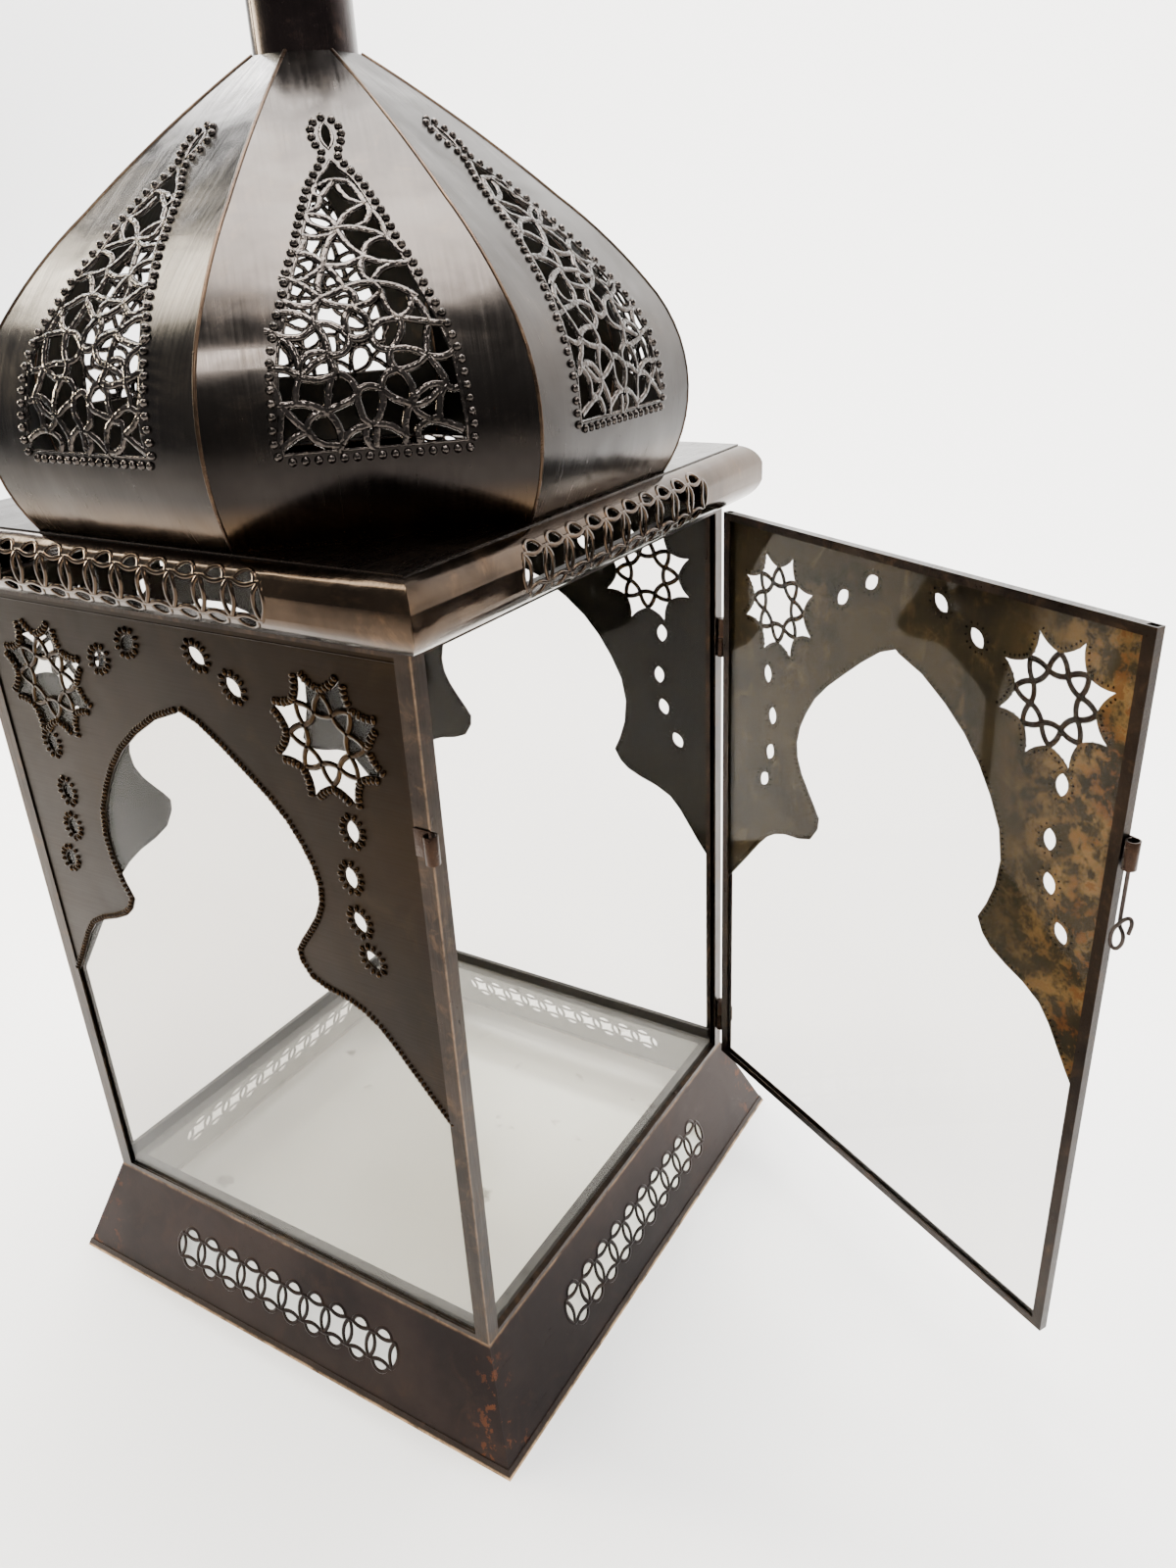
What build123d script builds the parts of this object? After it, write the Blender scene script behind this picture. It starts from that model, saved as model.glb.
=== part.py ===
from build123d import *
import os
from math import atan2, cos, degrees, radians, sin, tan

os.makedirs("parts", exist_ok=True)

# A floor lantern of pierced sheet metal, in millimetres. It stands on the XY plane with its
# axis on Z. The front faces -Y and the door is on the +X side, hinged at the back corner.

# Sheet and glass
sheet = 0.8
tube_sides = 8
glass = 2.0
seat_gap = 0.1

# Skirt
skirt_height = 64.0
skirt_flare = 24.6
hem_height = 5.0
hem_depth = 2.4
hem_proud = 0.6

# Box
box_width = 300.0
box_height = 400.0
post_leg = 9.0
rail_lip = 3.0
top_rail_lip = 5.0
rail_shelf = 12.0
floor_glass_thickness = 4.0

# Arch sheets: half widths and depths below the head of the box
arch_apex = 54.0
arch_shoulder = (45.0, 83.0)
arch_waist = (76.0, 130.0)
arch_bulge = (73.0, 152.0)
arch_cusp = (59.0, 172.0)
arch_hollow = (64.0, 187.0)
arch_knee = (76.0, 192.0)
arch_lobe_reach = 38.0
arch_lobe = 213.0
arch_foot = 250.0

# Punched holes of the arch sheets: places from the middle and below the head, and their tilt
star_place = (97.0, 51.0)
star_eye_radius = 11.0
star_ray_inner = 13.5
star_ray_outer = 31.5
star_ray_width = 9.5
star_ray_widest = 0.4
star_rays = 8
leaf_length = 11.5
leaf_width = 7.0
crown_leaves = ((23.0, 25.0, 52.0), (46.0, 39.0, 42.0))
column_leaves = ((105.0, 91.0, 0.0), (101.0, 118.0, 6.0), (104.0, 141.0, 22.0), (112.0, 163.0, 34.0))

# Chain piercing of the skirt and the cornice
chain_links = 10
chain_pitch = 17.6
chain_bar = 2.0
chain_window_height = 12.0
chain_slit_width = 3.8
chain_slit_height = 12.6
chain_crown_height = 5.2

# Cornice and roof
cornice_height = 32.0
cornice_reach = 18.0
cornice_foot_inset = 1.0
cornice_top_inset = 11.0
cornice_flange = 7.0
cornice_band = 10.0
cornice_turn = 4.0
cornice_window_height = 8.6
roof_rim = 9.0

# Dome: places of the side gores out from the box's side, or in from it, and above the roof plate
dome_foot_proud = 5.0
dome_belly = (17.8, 44.0)
dome_shoulder = (4.0, 87.0)
dome_bend = (-16.6, 111.5)
dome_slope = (-40.0, 133.0)
dome_hollow = (-81.0, 167.0)
dome_height = 198.0
belly_flats = 4
slope_flats = 2
hollow_flats = 2
gore_count = 8
neck_radius = 25.0
neck_seat = 1.0

# Lattice of the gores
lattice_foot = 37.0
lattice_cell = 42.0
lattice_rows = 6
lattice_bar = 3.6
lattice_widths = ((0.0, 40.0), (31.0, 40.0), (53.0, 32.0), (70.0, 25.0), (90.0, 17.0), (108.0, 7.0), (115.0, 1.5))
lattice_eye_height = 122.0
lattice_eye_length = 9.0
lattice_eye_width = 4.2

# Neck, lid, eye and ring
neck_height = 46.0
neck_overlap = 5.0
neck_flats = 24
lid_radius = 29.0
lid_rise = 15.0
lid_flat = 5.0
eye_radius = 5.6
eye_wire = 1.6
eye_bends = 12
ring_radius = 27.0
ring_wire = 2.2
ring_bends = 20
ring_lean = 51.0
wire_sides = 6

# Door
door_open = 61.0
door_gap = 0.2
door_depth = 5.0
door_foot_gap = 1.5
door_head_gap = 3.5
door_stile = 6.0
door_rail = 4.6
door_edge_gap = 0.4
hinge_inset = 6.0
hinge_heights = (18.0, 305.0)
hinge_knuckle = 12.0
hinge_tube = 3.0
hinge_pin = 1.5
hinge_play = 0.05
hinge_step = 0.3
hinge_clearance = 2.0

# Latch
latch_height = 288.0
latch_tube = 3.3
latch_tube_length = 14.0
latch_tube_gap = 1.5
latch_pinch = 2.0
latch_leaf = 12.0
latch_wire = 1.0
latch_wire_play = 0.08
latch_head = 2.2
latch_head_height = 2.0
latch_drop = 30.0
latch_bends = (
    (0.0, 0.0, 0.0),
    (3.8, 0.3, -3.4),
    (3.2, 0.7, -8.6),
    (0.2, 1.2, -10.4),
    (-2.2, 1.7, -7.0),
    (-1.8, 2.2, -1.6),
    (4.4, 2.2, 7.4),
    (7.4, 2.2, 7.6),
    (6.6, 2.2, 0.6),
)

# Worked out from the sizes above
chain_window_width = chain_pitch - chain_slit_width - 2 * chain_bar
half = box_width / 2
dome_foot = half + dome_foot_proud
box_floor = skirt_height
box_top = box_floor + box_height
roof = box_top + cornice_height
skirt_foot = half + skirt_flare
reach = 2 * (half + skirt_flare + cornice_reach)
gore_half_angle = 180.0 / gore_count
arch_outer = half - sheet - seat_gap
pane_outer = arch_outer - sheet - seat_gap
pane_inner = pane_outer - glass
channel_inner = pane_inner - seat_gap
pane_half_width = channel_inner - sheet
shelf_top = box_floor + sheet
pane_foot = shelf_top + seat_gap
pane_head = box_top - sheet - seat_gap
post_foot = box_floor + rail_lip
post_head = box_top - top_rail_lip
sides = {"front": -90.0, "right": 0.0, "back": 90.0, "left": 180.0}
corners = {"front_right": -45.0, "back_right": 45.0, "back_left": 135.0, "front_left": -135.0}


def finish(part, name):
    """Label a piece and write it to its own file."""
    part.label = name
    export_step(part, f"parts/{name}.step")


def radial_plane(turn):
    """Upright plane through the lantern's axis: x runs outwards, y runs up."""
    outwards = Vector(cos(radians(turn)), sin(radians(turn)), 0)
    return Plane(origin=(0, 0, 0), x_dir=outwards, z_dir=outwards.cross(Vector(0, 0, 1)))


def side_plane(turn, distance, height=0.0):
    """Upright plane facing outwards at a distance from the axis: x runs along the side, y runs up."""
    outwards = Vector(cos(radians(turn)), sin(radians(turn)), 0)
    along = Vector(0, 0, 1).cross(outwards)
    return Plane(origin=outwards * distance + Vector(0, 0, height), x_dir=along, z_dir=outwards)


def plan_plane(turn, height):
    """Level plane at a height: x runs outwards along the turn."""
    outwards = Vector(cos(radians(turn)), sin(radians(turn)), 0)
    return Plane(origin=(0, 0, height), x_dir=outwards, z_dir=(0, 0, 1))


def tube(radius, mode=Mode.ADD):
    """Outline of a small folded tube with flats, one of them outwards along x."""
    return RegularPolygon(
        radius=radius,
        side_count=tube_sides,
        major_radius=False,
        rotation=180 / tube_sides,
        mode=mode,
    )


def sector(turn, half_angle):
    """Plan of a side's or a gore's share, a wedge about the axis, which gives it mitred ends."""
    spread = reach * tan(radians(half_angle))
    with BuildSketch(plan_plane(turn, 0)) as wedge:
        Polygon((0, 0), (reach, -spread), (reach, spread), align=None)
    return wedge.sketch


def diamond(inner, outer, width, widest=0.5):
    """Four-cornered hole pointing outwards along x, widest at a share of its length."""
    shoulder = inner + (outer - inner) * widest
    with BuildSketch() as hole:
        Polygon((inner, 0), (shoulder, -width / 2), (outer, 0), (shoulder, width / 2), align=None)
    return hole.sketch


def chain_windows():
    """The middle holes of the cornice's chain, centred."""
    with BuildSketch() as holes:
        with GridLocations(chain_pitch, 1, chain_links, 1):
            Rectangle(chain_window_width, cornice_window_height)
    return holes.sketch


def chain():
    """All the holes of a chain of interlaced links: crowned windows and the slits between the links."""
    slit_reach = chain_slit_height / 2
    side = chain_window_width / 2
    shoulder = chain_window_height / 2 + chain_bar
    crown = shoulder + chain_crown_height
    with BuildSketch() as window:
        Polygon(
            (-side, -shoulder),
            (0, -crown),
            (side, -shoulder),
            (side, shoulder),
            (0, crown),
            (-side, shoulder),
            align=None,
        )
    with BuildSketch() as holes:
        with GridLocations(chain_pitch, 1, chain_links, 1):
            add(window.sketch)
        with GridLocations(chain_pitch, 1, chain_links + 1, 1):
            add(diamond(-slit_reach, slit_reach, chain_slit_width), rotation=90)
    return holes.sketch


def star():
    """The holes of a star rosette: an eye with a ring of pointed rays round it."""
    with BuildSketch() as holes:
        RegularPolygon(radius=star_eye_radius, side_count=star_rays)
        with PolarLocations(0, star_rays, start_angle=180 / star_rays):
            add(diamond(star_ray_inner, star_ray_outer, star_ray_width, star_ray_widest))
    return holes.sketch


def arch_holes():
    """Everything cut from an arch sheet, with x = 0 on its middle and y = 0 at the head of the box."""
    post_edge = half - post_leg
    with BuildSketch() as holes:
        with BuildLine():
            Line((0, -arch_apex), (0, -box_height))
            Line((0, -box_height), (half, -box_height))
            Line((half, -box_height), (half, -arch_foot))
            Line((half, -arch_foot), (post_edge, -arch_foot))
            ThreePointArc(
                (post_edge, -arch_foot),
                (half - arch_lobe_reach, -arch_lobe),
                (arch_knee[0], -arch_knee[1]),
            )
            ThreePointArc(
                (arch_knee[0], -arch_knee[1]),
                (arch_hollow[0], -arch_hollow[1]),
                (arch_cusp[0], -arch_cusp[1]),
            )
            ThreePointArc(
                (arch_cusp[0], -arch_cusp[1]),
                (arch_bulge[0], -arch_bulge[1]),
                (arch_waist[0], -arch_waist[1]),
            )
            ThreePointArc(
                (arch_waist[0], -arch_waist[1]),
                (arch_shoulder[0], -arch_shoulder[1]),
                (0, -arch_apex),
            )
        make_face()
        with Locations((star_place[0], -star_place[1])):
            add(star())
        for x, depth, tilt in crown_leaves + column_leaves:
            with Locations((x, -depth)):
                add(diamond(-leaf_length / 2, leaf_length / 2, leaf_width), rotation=90 + tilt)
        mirror(about=Plane.YZ)
    return holes.sketch


def lattice():
    """The holes of a gore's lattice, with y = 0 at the foot of the field."""
    window_side = lattice_cell / 2**0.5 - lattice_bar
    with BuildSketch() as field:
        right = [(width, height) for height, width in lattice_widths]
        left = [(-width, height) for height, width in reversed(lattice_widths)]
        Polygon(*right, *left, align=None)
    with BuildSketch() as holes:
        for row in range(lattice_rows):
            with Locations((0, row * lattice_cell / 2)):
                with GridLocations(lattice_cell, 1, 4 + row % 2, 1):
                    Rectangle(window_side, window_side, rotation=45)
        add(field.sketch, mode=Mode.INTERSECT)
    return holes.sketch


# Base hem: the folded strip round the skirt's foot, mitred, with a flat underside.
with BuildPart() as base_hem:
    with BuildSketch():
        Rectangle(2 * (skirt_foot + hem_proud), 2 * (skirt_foot + hem_proud))
    with BuildSketch(Plane.XY.offset(hem_height)):
        hem_top = skirt_foot - skirt_flare * hem_height / skirt_height + hem_proud
        Rectangle(2 * hem_top, 2 * hem_top)
    loft()
    with BuildSketch():
        Rectangle(2 * (skirt_foot + hem_proud - hem_depth), 2 * (skirt_foot + hem_proud - hem_depth))
    with BuildSketch(Plane.XY.offset(hem_height)):
        Rectangle(2 * (hem_top - hem_depth), 2 * (hem_top - hem_depth))
    loft(mode=Mode.SUBTRACT)
finish(base_hem.part, "base_hem")

# Skirt: four flared sheets, mitred at the corners, each pierced with a chain.
skirt_slope = skirt_flare / skirt_height
skirt_middle = half + skirt_flare / 2
for name, turn in sides.items():
    with BuildPart() as skirt:
        with BuildSketch(radial_plane(turn)):
            hem_reach = half + skirt_slope * (skirt_height - hem_height)
            Polygon(
                (half, skirt_height),
                (hem_reach, hem_height),
                (hem_reach - sheet, hem_height),
                (half - sheet, skirt_height),
                align=None,
            )
        extrude(amount=reach, both=True)
        extrude(sector(turn, 45), amount=2 * reach, mode=Mode.INTERSECT)
        upright = side_plane(turn, skirt_middle, skirt_height / 2)
        outwards = (upright.z_dir + Vector(0, 0, 1) * skirt_slope).normalized()
        with BuildSketch(Plane(upright.origin, x_dir=upright.x_dir, z_dir=outwards)):
            add(chain())
        extrude(amount=4 * sheet, both=True, mode=Mode.SUBTRACT)
    finish(skirt.part, f"skirt_{name}")

# Floor rails: a shelf for the floor glass and the panes, with a low lip outside.
for name, turn in sides.items():
    with BuildPart() as rail:
        with BuildSketch(radial_plane(turn)):
            with BuildLine():
                Polyline(
                    (half - rail_shelf, box_floor),
                    (half, box_floor),
                    (half, box_floor + rail_lip),
                    (half - sheet, box_floor + rail_lip),
                    (half - sheet, shelf_top),
                    (half - rail_shelf, shelf_top),
                    close=True,
                )
            make_face()
        extrude(amount=reach, both=True)
        extrude(sector(turn, 45), amount=2 * reach, mode=Mode.INTERSECT)
    finish(rail.part, f"rail_bottom_{name}")

# Head rails: the same fold upside down, under the cornice.
for name, turn in sides.items():
    with BuildPart() as rail:
        with BuildSketch(radial_plane(turn)):
            with BuildLine():
                Polyline(
                    (half - rail_shelf, box_top),
                    (half, box_top),
                    (half, box_top - top_rail_lip),
                    (half - sheet, box_top - top_rail_lip),
                    (half - sheet, box_top - sheet),
                    (half - rail_shelf, box_top - sheet),
                    close=True,
                )
            make_face()
        extrude(amount=reach, both=True)
        extrude(sector(turn, 45), amount=2 * reach, mode=Mode.INTERSECT)
    finish(rail.part, f"rail_top_{name}")

# Floor glass: lies on the shelves, inside the posts' channels.
floor_half = pane_half_width - seat_gap
with BuildPart() as floor_glass:
    with BuildSketch(Plane.XY.offset(shelf_top)):
        Rectangle(2 * floor_half, 2 * floor_half)
    extrude(amount=floor_glass_thickness)
finish(floor_glass.part, "floor_glass")

# Corner posts: one folded sheet, with an angle outside, an angle inside and a web between.
for name, turn in corners.items():
    with BuildPart() as post:
        with BuildSketch(Plane(origin=(0, 0, post_foot), x_dir=plan_plane(turn - 45, 0).x_dir, z_dir=(0, 0, 1))):
            leg_end = half - post_leg
            Polygon((leg_end, half), (half, half), (half, half - sheet), (leg_end, half - sheet), align=None)
            Polygon((half, leg_end), (half, half), (half - sheet, half), (half - sheet, leg_end), align=None)
            inner = channel_inner
            Polygon((leg_end, inner), (inner, inner), (inner, inner - sheet), (leg_end, inner - sheet), align=None)
            Polygon((inner, leg_end), (inner, inner), (inner - sheet, inner), (inner - sheet, leg_end), align=None)
            web = sheet / 2
            Polygon(
                (inner - sheet, inner - sheet / 4),
                (half - sheet, half - web),
                (half - web, half - sheet),
                (inner - sheet / 4, inner - sheet),
                align=None,
            )
        extrude(amount=post_head - post_foot)
    finish(post.part, f"post_{name}")

# Fixed panes and the arch sheets in front of them, in the channels of the posts and rails.
for name in ("front", "left", "back"):
    turn = sides[name]
    with BuildPart() as pane:
        with BuildSketch(side_plane(turn, pane_inner, pane_foot)):
            Rectangle(2 * pane_half_width, pane_head - pane_foot, align=(Align.CENTER, Align.MIN))
        extrude(amount=glass)
    finish(pane.part, f"pane_{name}")
    with BuildPart() as arch:
        with BuildSketch(side_plane(turn, arch_outer - sheet, box_top)):
            with Locations((0, pane_head - box_top)):
                Rectangle(2 * pane_half_width, pane_head - pane_foot, align=(Align.CENTER, Align.MAX))
            add(arch_holes(), mode=Mode.SUBTRACT)
        extrude(amount=sheet)
    finish(arch.part, f"arch_{name}")

# Cornice: four half-round rolls with flanges, mitred at the corners and pierced with a chain.
for name, turn in sides.items():
    with BuildPart() as roll:
        with BuildSketch(radial_plane(turn)):
            foot = half + cornice_foot_inset
            crest = half + cornice_reach
            head = crest - cornice_top_inset
            middle = box_top + cornice_height / 2
            band = cornice_band / 2
            with BuildLine():
                Line((foot - cornice_flange, box_top), (foot, box_top))
                ThreePointArc((foot, box_top), (crest - cornice_turn, box_top + cornice_turn), (crest, middle - band))
                Line((crest, middle - band), (crest, middle + band))
                ThreePointArc((crest, middle + band), (crest - cornice_turn, roof - cornice_turn), (head, roof))
                Line((head, roof), (head - cornice_flange, roof))
                offset(amount=sheet, side=Side.LEFT, closed=True)
            make_face()
        extrude(amount=reach, both=True)
        extrude(sector(turn, 45), amount=2 * reach, mode=Mode.INTERSECT)
        with BuildSketch(side_plane(turn, crest - 2 * sheet, middle)):
            add(chain_windows())
        extrude(amount=cornice_reach, mode=Mode.SUBTRACT)
    finish(roll.part, f"cornice_{name}")

# Roof plate: covers the rolls' flanges and is open under the dome.
with BuildPart() as roof_plate:
    with BuildSketch(Plane.XY.offset(roof)):
        Rectangle(2 * head, 2 * head)
        RegularPolygon(
            radius=dome_foot - roof_rim,
            side_count=gore_count,
            major_radius=False,
            rotation=gore_half_angle,
            mode=Mode.SUBTRACT,
        )
    extrude(amount=sheet)
finish(roof_plate.part, "roof_plate")

# Dome: gores bent one way only, mitred along the seams, each pierced with a lattice.
dome_base = roof + sheet
dome_top = dome_base + dome_height
neck_ring = neck_radius + neck_seat

# The gores' outside, bent in short flats along three arcs that run into each other.
with BuildLine():
    shoulder = (half + dome_shoulder[0], dome_shoulder[1])
    waist = (half + dome_slope[0], dome_slope[1])
    belly = ThreePointArc((dome_foot, 0), (half + dome_belly[0], dome_belly[1]), shoulder)
    slope = ThreePointArc(shoulder, (half + dome_bend[0], dome_bend[1]), waist)
    hollow = ThreePointArc(waist, (half + dome_hollow[0], dome_hollow[1]), (neck_ring, dome_height))
dome_bends = [belly @ (n / belly_flats) for n in range(belly_flats)]
dome_bends += [slope @ (n / slope_flats) for n in range(slope_flats)]
dome_bends += [hollow @ (n / hollow_flats) for n in range(hollow_flats + 1)]

for index in range(gore_count):
    turn = -90 + index * 2 * gore_half_angle
    with BuildPart() as gore:
        with BuildSketch(radial_plane(turn)):
            with BuildLine():
                Polyline(*[(bend.X, bend.Y + dome_base) for bend in dome_bends])
                offset(amount=sheet, side=Side.LEFT, closed=True)
            make_face()
        extrude(amount=reach, both=True)
        extrude(sector(turn, gore_half_angle), amount=2 * reach, mode=Mode.INTERSECT)
        with BuildSketch(side_plane(turn, neck_ring, dome_base + lattice_foot)):
            add(lattice())
            with Locations((0, lattice_eye_height)):
                eye_reach = lattice_eye_length / 2
                add(diamond(-eye_reach, eye_reach, lattice_eye_width), rotation=90)
        extrude(amount=reach, mode=Mode.SUBTRACT)
    finish(gore.part, f"dome_gore_{index + 1}")

# Neck tube: rolled in short flats, standing in the ring of gore tips.
neck_top = dome_top + neck_height
with BuildPart() as neck_tube:
    with BuildSketch(Plane.XY.offset(dome_top - neck_overlap)):
        RegularPolygon(radius=neck_radius, side_count=neck_flats)
        RegularPolygon(radius=neck_radius - sheet, side_count=neck_flats, mode=Mode.SUBTRACT)
    extrude(amount=neck_height + neck_overlap)
finish(neck_tube.part, "neck_tube")

# Neck lid: a low folded pyramid with eight sides, hollow under, that sits on the neck tube.
lid_top = neck_top + lid_rise
lid_slope = degrees(atan2(lid_radius - lid_flat, lid_rise))
with BuildPart() as neck_cap:
    with BuildSketch(Plane.XY.offset(neck_top)):
        RegularPolygon(radius=lid_radius, side_count=gore_count, major_radius=False, rotation=gore_half_angle)
    extrude(amount=lid_rise, taper=lid_slope)
    with BuildSketch(Plane.XY.offset(neck_top)):
        RegularPolygon(
            radius=neck_radius - 2 * sheet,
            side_count=gore_count,
            major_radius=False,
            rotation=gore_half_angle,
        )
    extrude(amount=lid_rise - 3 * sheet, taper=lid_slope, mode=Mode.SUBTRACT)
finish(neck_cap.part, "neck_cap")


def wire_loop(frame, radius, bends, wire):
    """A closed ring of wire, bent in many short straights, about the middle of a plane."""
    with BuildPart() as ring:
        with BuildLine(frame) as loop:
            corners = [Vector(radius, 0).rotate(Axis.Z, 360 * n / bends) for n in range(bends)]
            Polyline(*[(corner.X, corner.Y) for corner in corners], close=True)
        start = loop.line.edges()[0]
        with BuildSketch(Plane(origin=start @ 0.5, z_dir=start % 0.5)):
            RegularPolygon(radius=wire, side_count=wire_sides)
        sweep(path=loop.line, transition=Transition.RIGHT)
    return ring.part


# Eye of bent wire, standing on the lid.
eye_centre = lid_top + eye_radius + eye_wire
with BuildPart() as ring_eye:
    add(wire_loop(Plane(origin=(0, 0, eye_centre), x_dir=(0, 1, 0), z_dir=(1, 0, 0)), eye_radius, eye_bends, eye_wire))
    with BuildSketch(Plane.XY.offset(lid_top)):
        Rectangle(2 * eye_wire, 3 * eye_wire)
    extrude(amount=eye_wire)
finish(ring_eye.part, "ring_eye")

# Carrying ring: passes through the eye and leans on the rim of the lid.
lean = radians(ring_lean)
ring_middle = Vector(0, -ring_radius * cos(lean), eye_centre - ring_radius * sin(lean))
ring_frame = Plane(origin=ring_middle, x_dir=(1, 0, 0), z_dir=(0, sin(lean), -cos(lean)))
with BuildPart() as carry_ring:
    add(wire_loop(ring_frame, ring_radius, ring_bends, ring_wire))
finish(carry_ring.part, "carry_ring")

# Hinges: two knuckles with leaves on the back corner post, two on the door, and two riveted pins.
hinge_x = half + hinge_tube
hinge_y = half - hinge_inset
hinge_bore = hinge_pin + hinge_play
with BuildPart() as hinge_knuckles_post:
    for height in hinge_heights:
        with BuildSketch(Plane.XY.offset(box_floor + height)):
            with Locations((hinge_x, hinge_y)):
                tube(hinge_tube)
            with Locations((half, hinge_y)):
                Rectangle(sheet, hinge_inset, align=(Align.MIN, Align.MIN))
            with Locations((hinge_x, hinge_y)):
                Circle(hinge_bore, mode=Mode.SUBTRACT)
        extrude(amount=hinge_knuckle)
finish(hinge_knuckles_post.part, "hinge_knuckles_post")

with BuildPart() as hinge_pins:
    for height in hinge_heights:
        with BuildSketch(Plane.XY.offset(box_floor + height)):
            with Locations((hinge_x, hinge_y)):
                Circle(hinge_pin)
        extrude(amount=2 * hinge_knuckle + hinge_step)
finish(hinge_pins.part, "hinge_pins")

# Door, standing open. Its pieces are drawn in the door's own plan, with x along the leaf from
# the hinge and y towards the outside.
leaf_turn = -90 + door_open
leaf_along = Vector(cos(radians(leaf_turn)), sin(radians(leaf_turn)), 0)
leaf_outside = Vector(0, 0, 1).cross(leaf_along)
door_back = half + door_gap - hinge_x
door_face = door_back + door_depth
leaf_start = hinge_tube + hinge_clearance
leaf_end = hinge_y + half - door_edge_gap
door_foot = box_floor + door_foot_gap
door_head = box_top - door_head_gap
hinge_stile_end = leaf_start + door_stile
latch_stile_start = leaf_end - door_stile
door_arch_face = door_face - sheet - seat_gap
door_pane_face = door_arch_face - sheet - seat_gap


def door_plan(height):
    """Level plane in the door's own plan."""
    return Plane(origin=(hinge_x, hinge_y, height), x_dir=leaf_along, z_dir=(0, 0, 1))


def door_sheet(outwards):
    """Upright plane parallel to the leaf: x along the leaf, y up, facing the inside of the door."""
    origin = Vector(hinge_x, hinge_y, 0) + leaf_outside * outwards
    return Plane(origin=origin, x_dir=leaf_along, z_dir=leaf_outside * -1)


def channel(inner, outer, web_at):
    """Plan of a folded channel between two places along the leaf, with its web at one of them."""
    with BuildSketch() as section:
        Polygon((inner, door_back), (outer, door_back), (outer, door_face), (inner, door_face), align=None)
        hollow_inner = inner + sheet if web_at == inner else inner
        hollow_outer = outer - sheet if web_at == outer else outer
        Polygon(
            (hollow_inner, door_back + sheet),
            (hollow_outer, door_back + sheet),
            (hollow_outer, door_face - sheet),
            (hollow_inner, door_face - sheet),
            align=None,
            mode=Mode.SUBTRACT,
        )
    return section.sketch


with BuildPart() as door_stile_hinge:
    with BuildSketch(door_plan(door_foot)):
        add(channel(leaf_start, hinge_stile_end, leaf_start))
    extrude(amount=door_head - door_foot)
finish(door_stile_hinge.part, "door_stile_hinge")

with BuildPart() as door_stile_latch:
    with BuildSketch(door_plan(door_foot)):
        add(channel(latch_stile_start, leaf_end, leaf_end))
    extrude(amount=door_head - door_foot)
finish(door_stile_latch.part, "door_stile_latch")

with BuildPart() as hinge_knuckles_door:
    for height in hinge_heights:
        with BuildSketch(door_plan(box_floor + height + hinge_knuckle + hinge_step)):
            RegularPolygon(radius=hinge_tube - hinge_play, side_count=tube_sides, rotation=180 / tube_sides)
            with Locations((0, door_face)):
                Rectangle(hinge_stile_end, hinge_tube - door_face, align=(Align.MIN, Align.MIN))
            Circle(hinge_bore, mode=Mode.SUBTRACT)
        extrude(amount=hinge_knuckle)
finish(hinge_knuckles_door.part, "hinge_knuckles_door")

# The rails are the same channel lying down, between the stiles.
for name, rail_foot, hollow_foot in (
    ("bottom", door_foot, door_foot + sheet),
    ("top", door_head - door_rail, door_head - door_rail),
):
    with BuildPart() as door_rail_piece:
        rail_size = (latch_stile_start - hinge_stile_end, door_depth)
        with BuildSketch(door_plan(rail_foot)):
            with Locations((hinge_stile_end, door_back)):
                Rectangle(*rail_size, align=Align.MIN)
        extrude(amount=door_rail)
        with BuildSketch(door_plan(hollow_foot)):
            with Locations((hinge_stile_end, door_back + sheet)):
                Rectangle(rail_size[0], door_depth - 2 * sheet, align=Align.MIN)
        extrude(amount=door_rail - sheet, mode=Mode.SUBTRACT)
    finish(door_rail_piece.part, f"door_rail_{name}")

# The door's pane and arch sheet sit in the channels of its frame.
filling = (leaf_end - leaf_start - 2 * (sheet + seat_gap), door_head - door_foot - 2 * (sheet + seat_gap))
filling_middle = (leaf_start + leaf_end) / 2
filling_foot = door_foot + sheet + seat_gap
with BuildPart() as door_pane:
    with BuildSketch(door_sheet(door_pane_face)):
        with Locations((filling_middle, filling_foot)):
            Rectangle(*filling, align=(Align.CENTER, Align.MIN))
    extrude(amount=glass)
finish(door_pane.part, "door_pane")

with BuildPart() as door_arch:
    with BuildSketch(door_sheet(door_arch_face)):
        with Locations((filling_middle, filling_foot)):
            Rectangle(*filling, align=(Align.CENTER, Align.MIN))
        with Locations((filling_middle, box_top)):
            add(arch_holes(), mode=Mode.SUBTRACT)
    extrude(amount=sheet)
finish(door_arch.part, "door_arch")

# Latch: a keeper tube on the front corner post stands over the barrel when the door is shut.
# The wire pin is pushed up from the barrel into the keeper.
latch_x = half + door_gap + door_depth + sheet - latch_tube
latch_y = -half - latch_tube
barrel_foot = box_floor + latch_height
keeper_foot = barrel_foot + latch_tube_length + latch_tube_gap
with BuildPart() as latch_keeper:
    with BuildSketch(Plane.XY.offset(keeper_foot)):
        with Locations((latch_x, latch_y)):
            tube(latch_tube)
        with Locations((latch_x, -half)):
            Rectangle(latch_leaf, sheet, align=(Align.MAX, Align.MAX))
        with Locations((latch_x, latch_y)):
            tube(latch_tube - sheet, mode=Mode.SUBTRACT)
    extrude(amount=latch_tube_length)
finish(latch_keeper.part, "latch_keeper")

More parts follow.
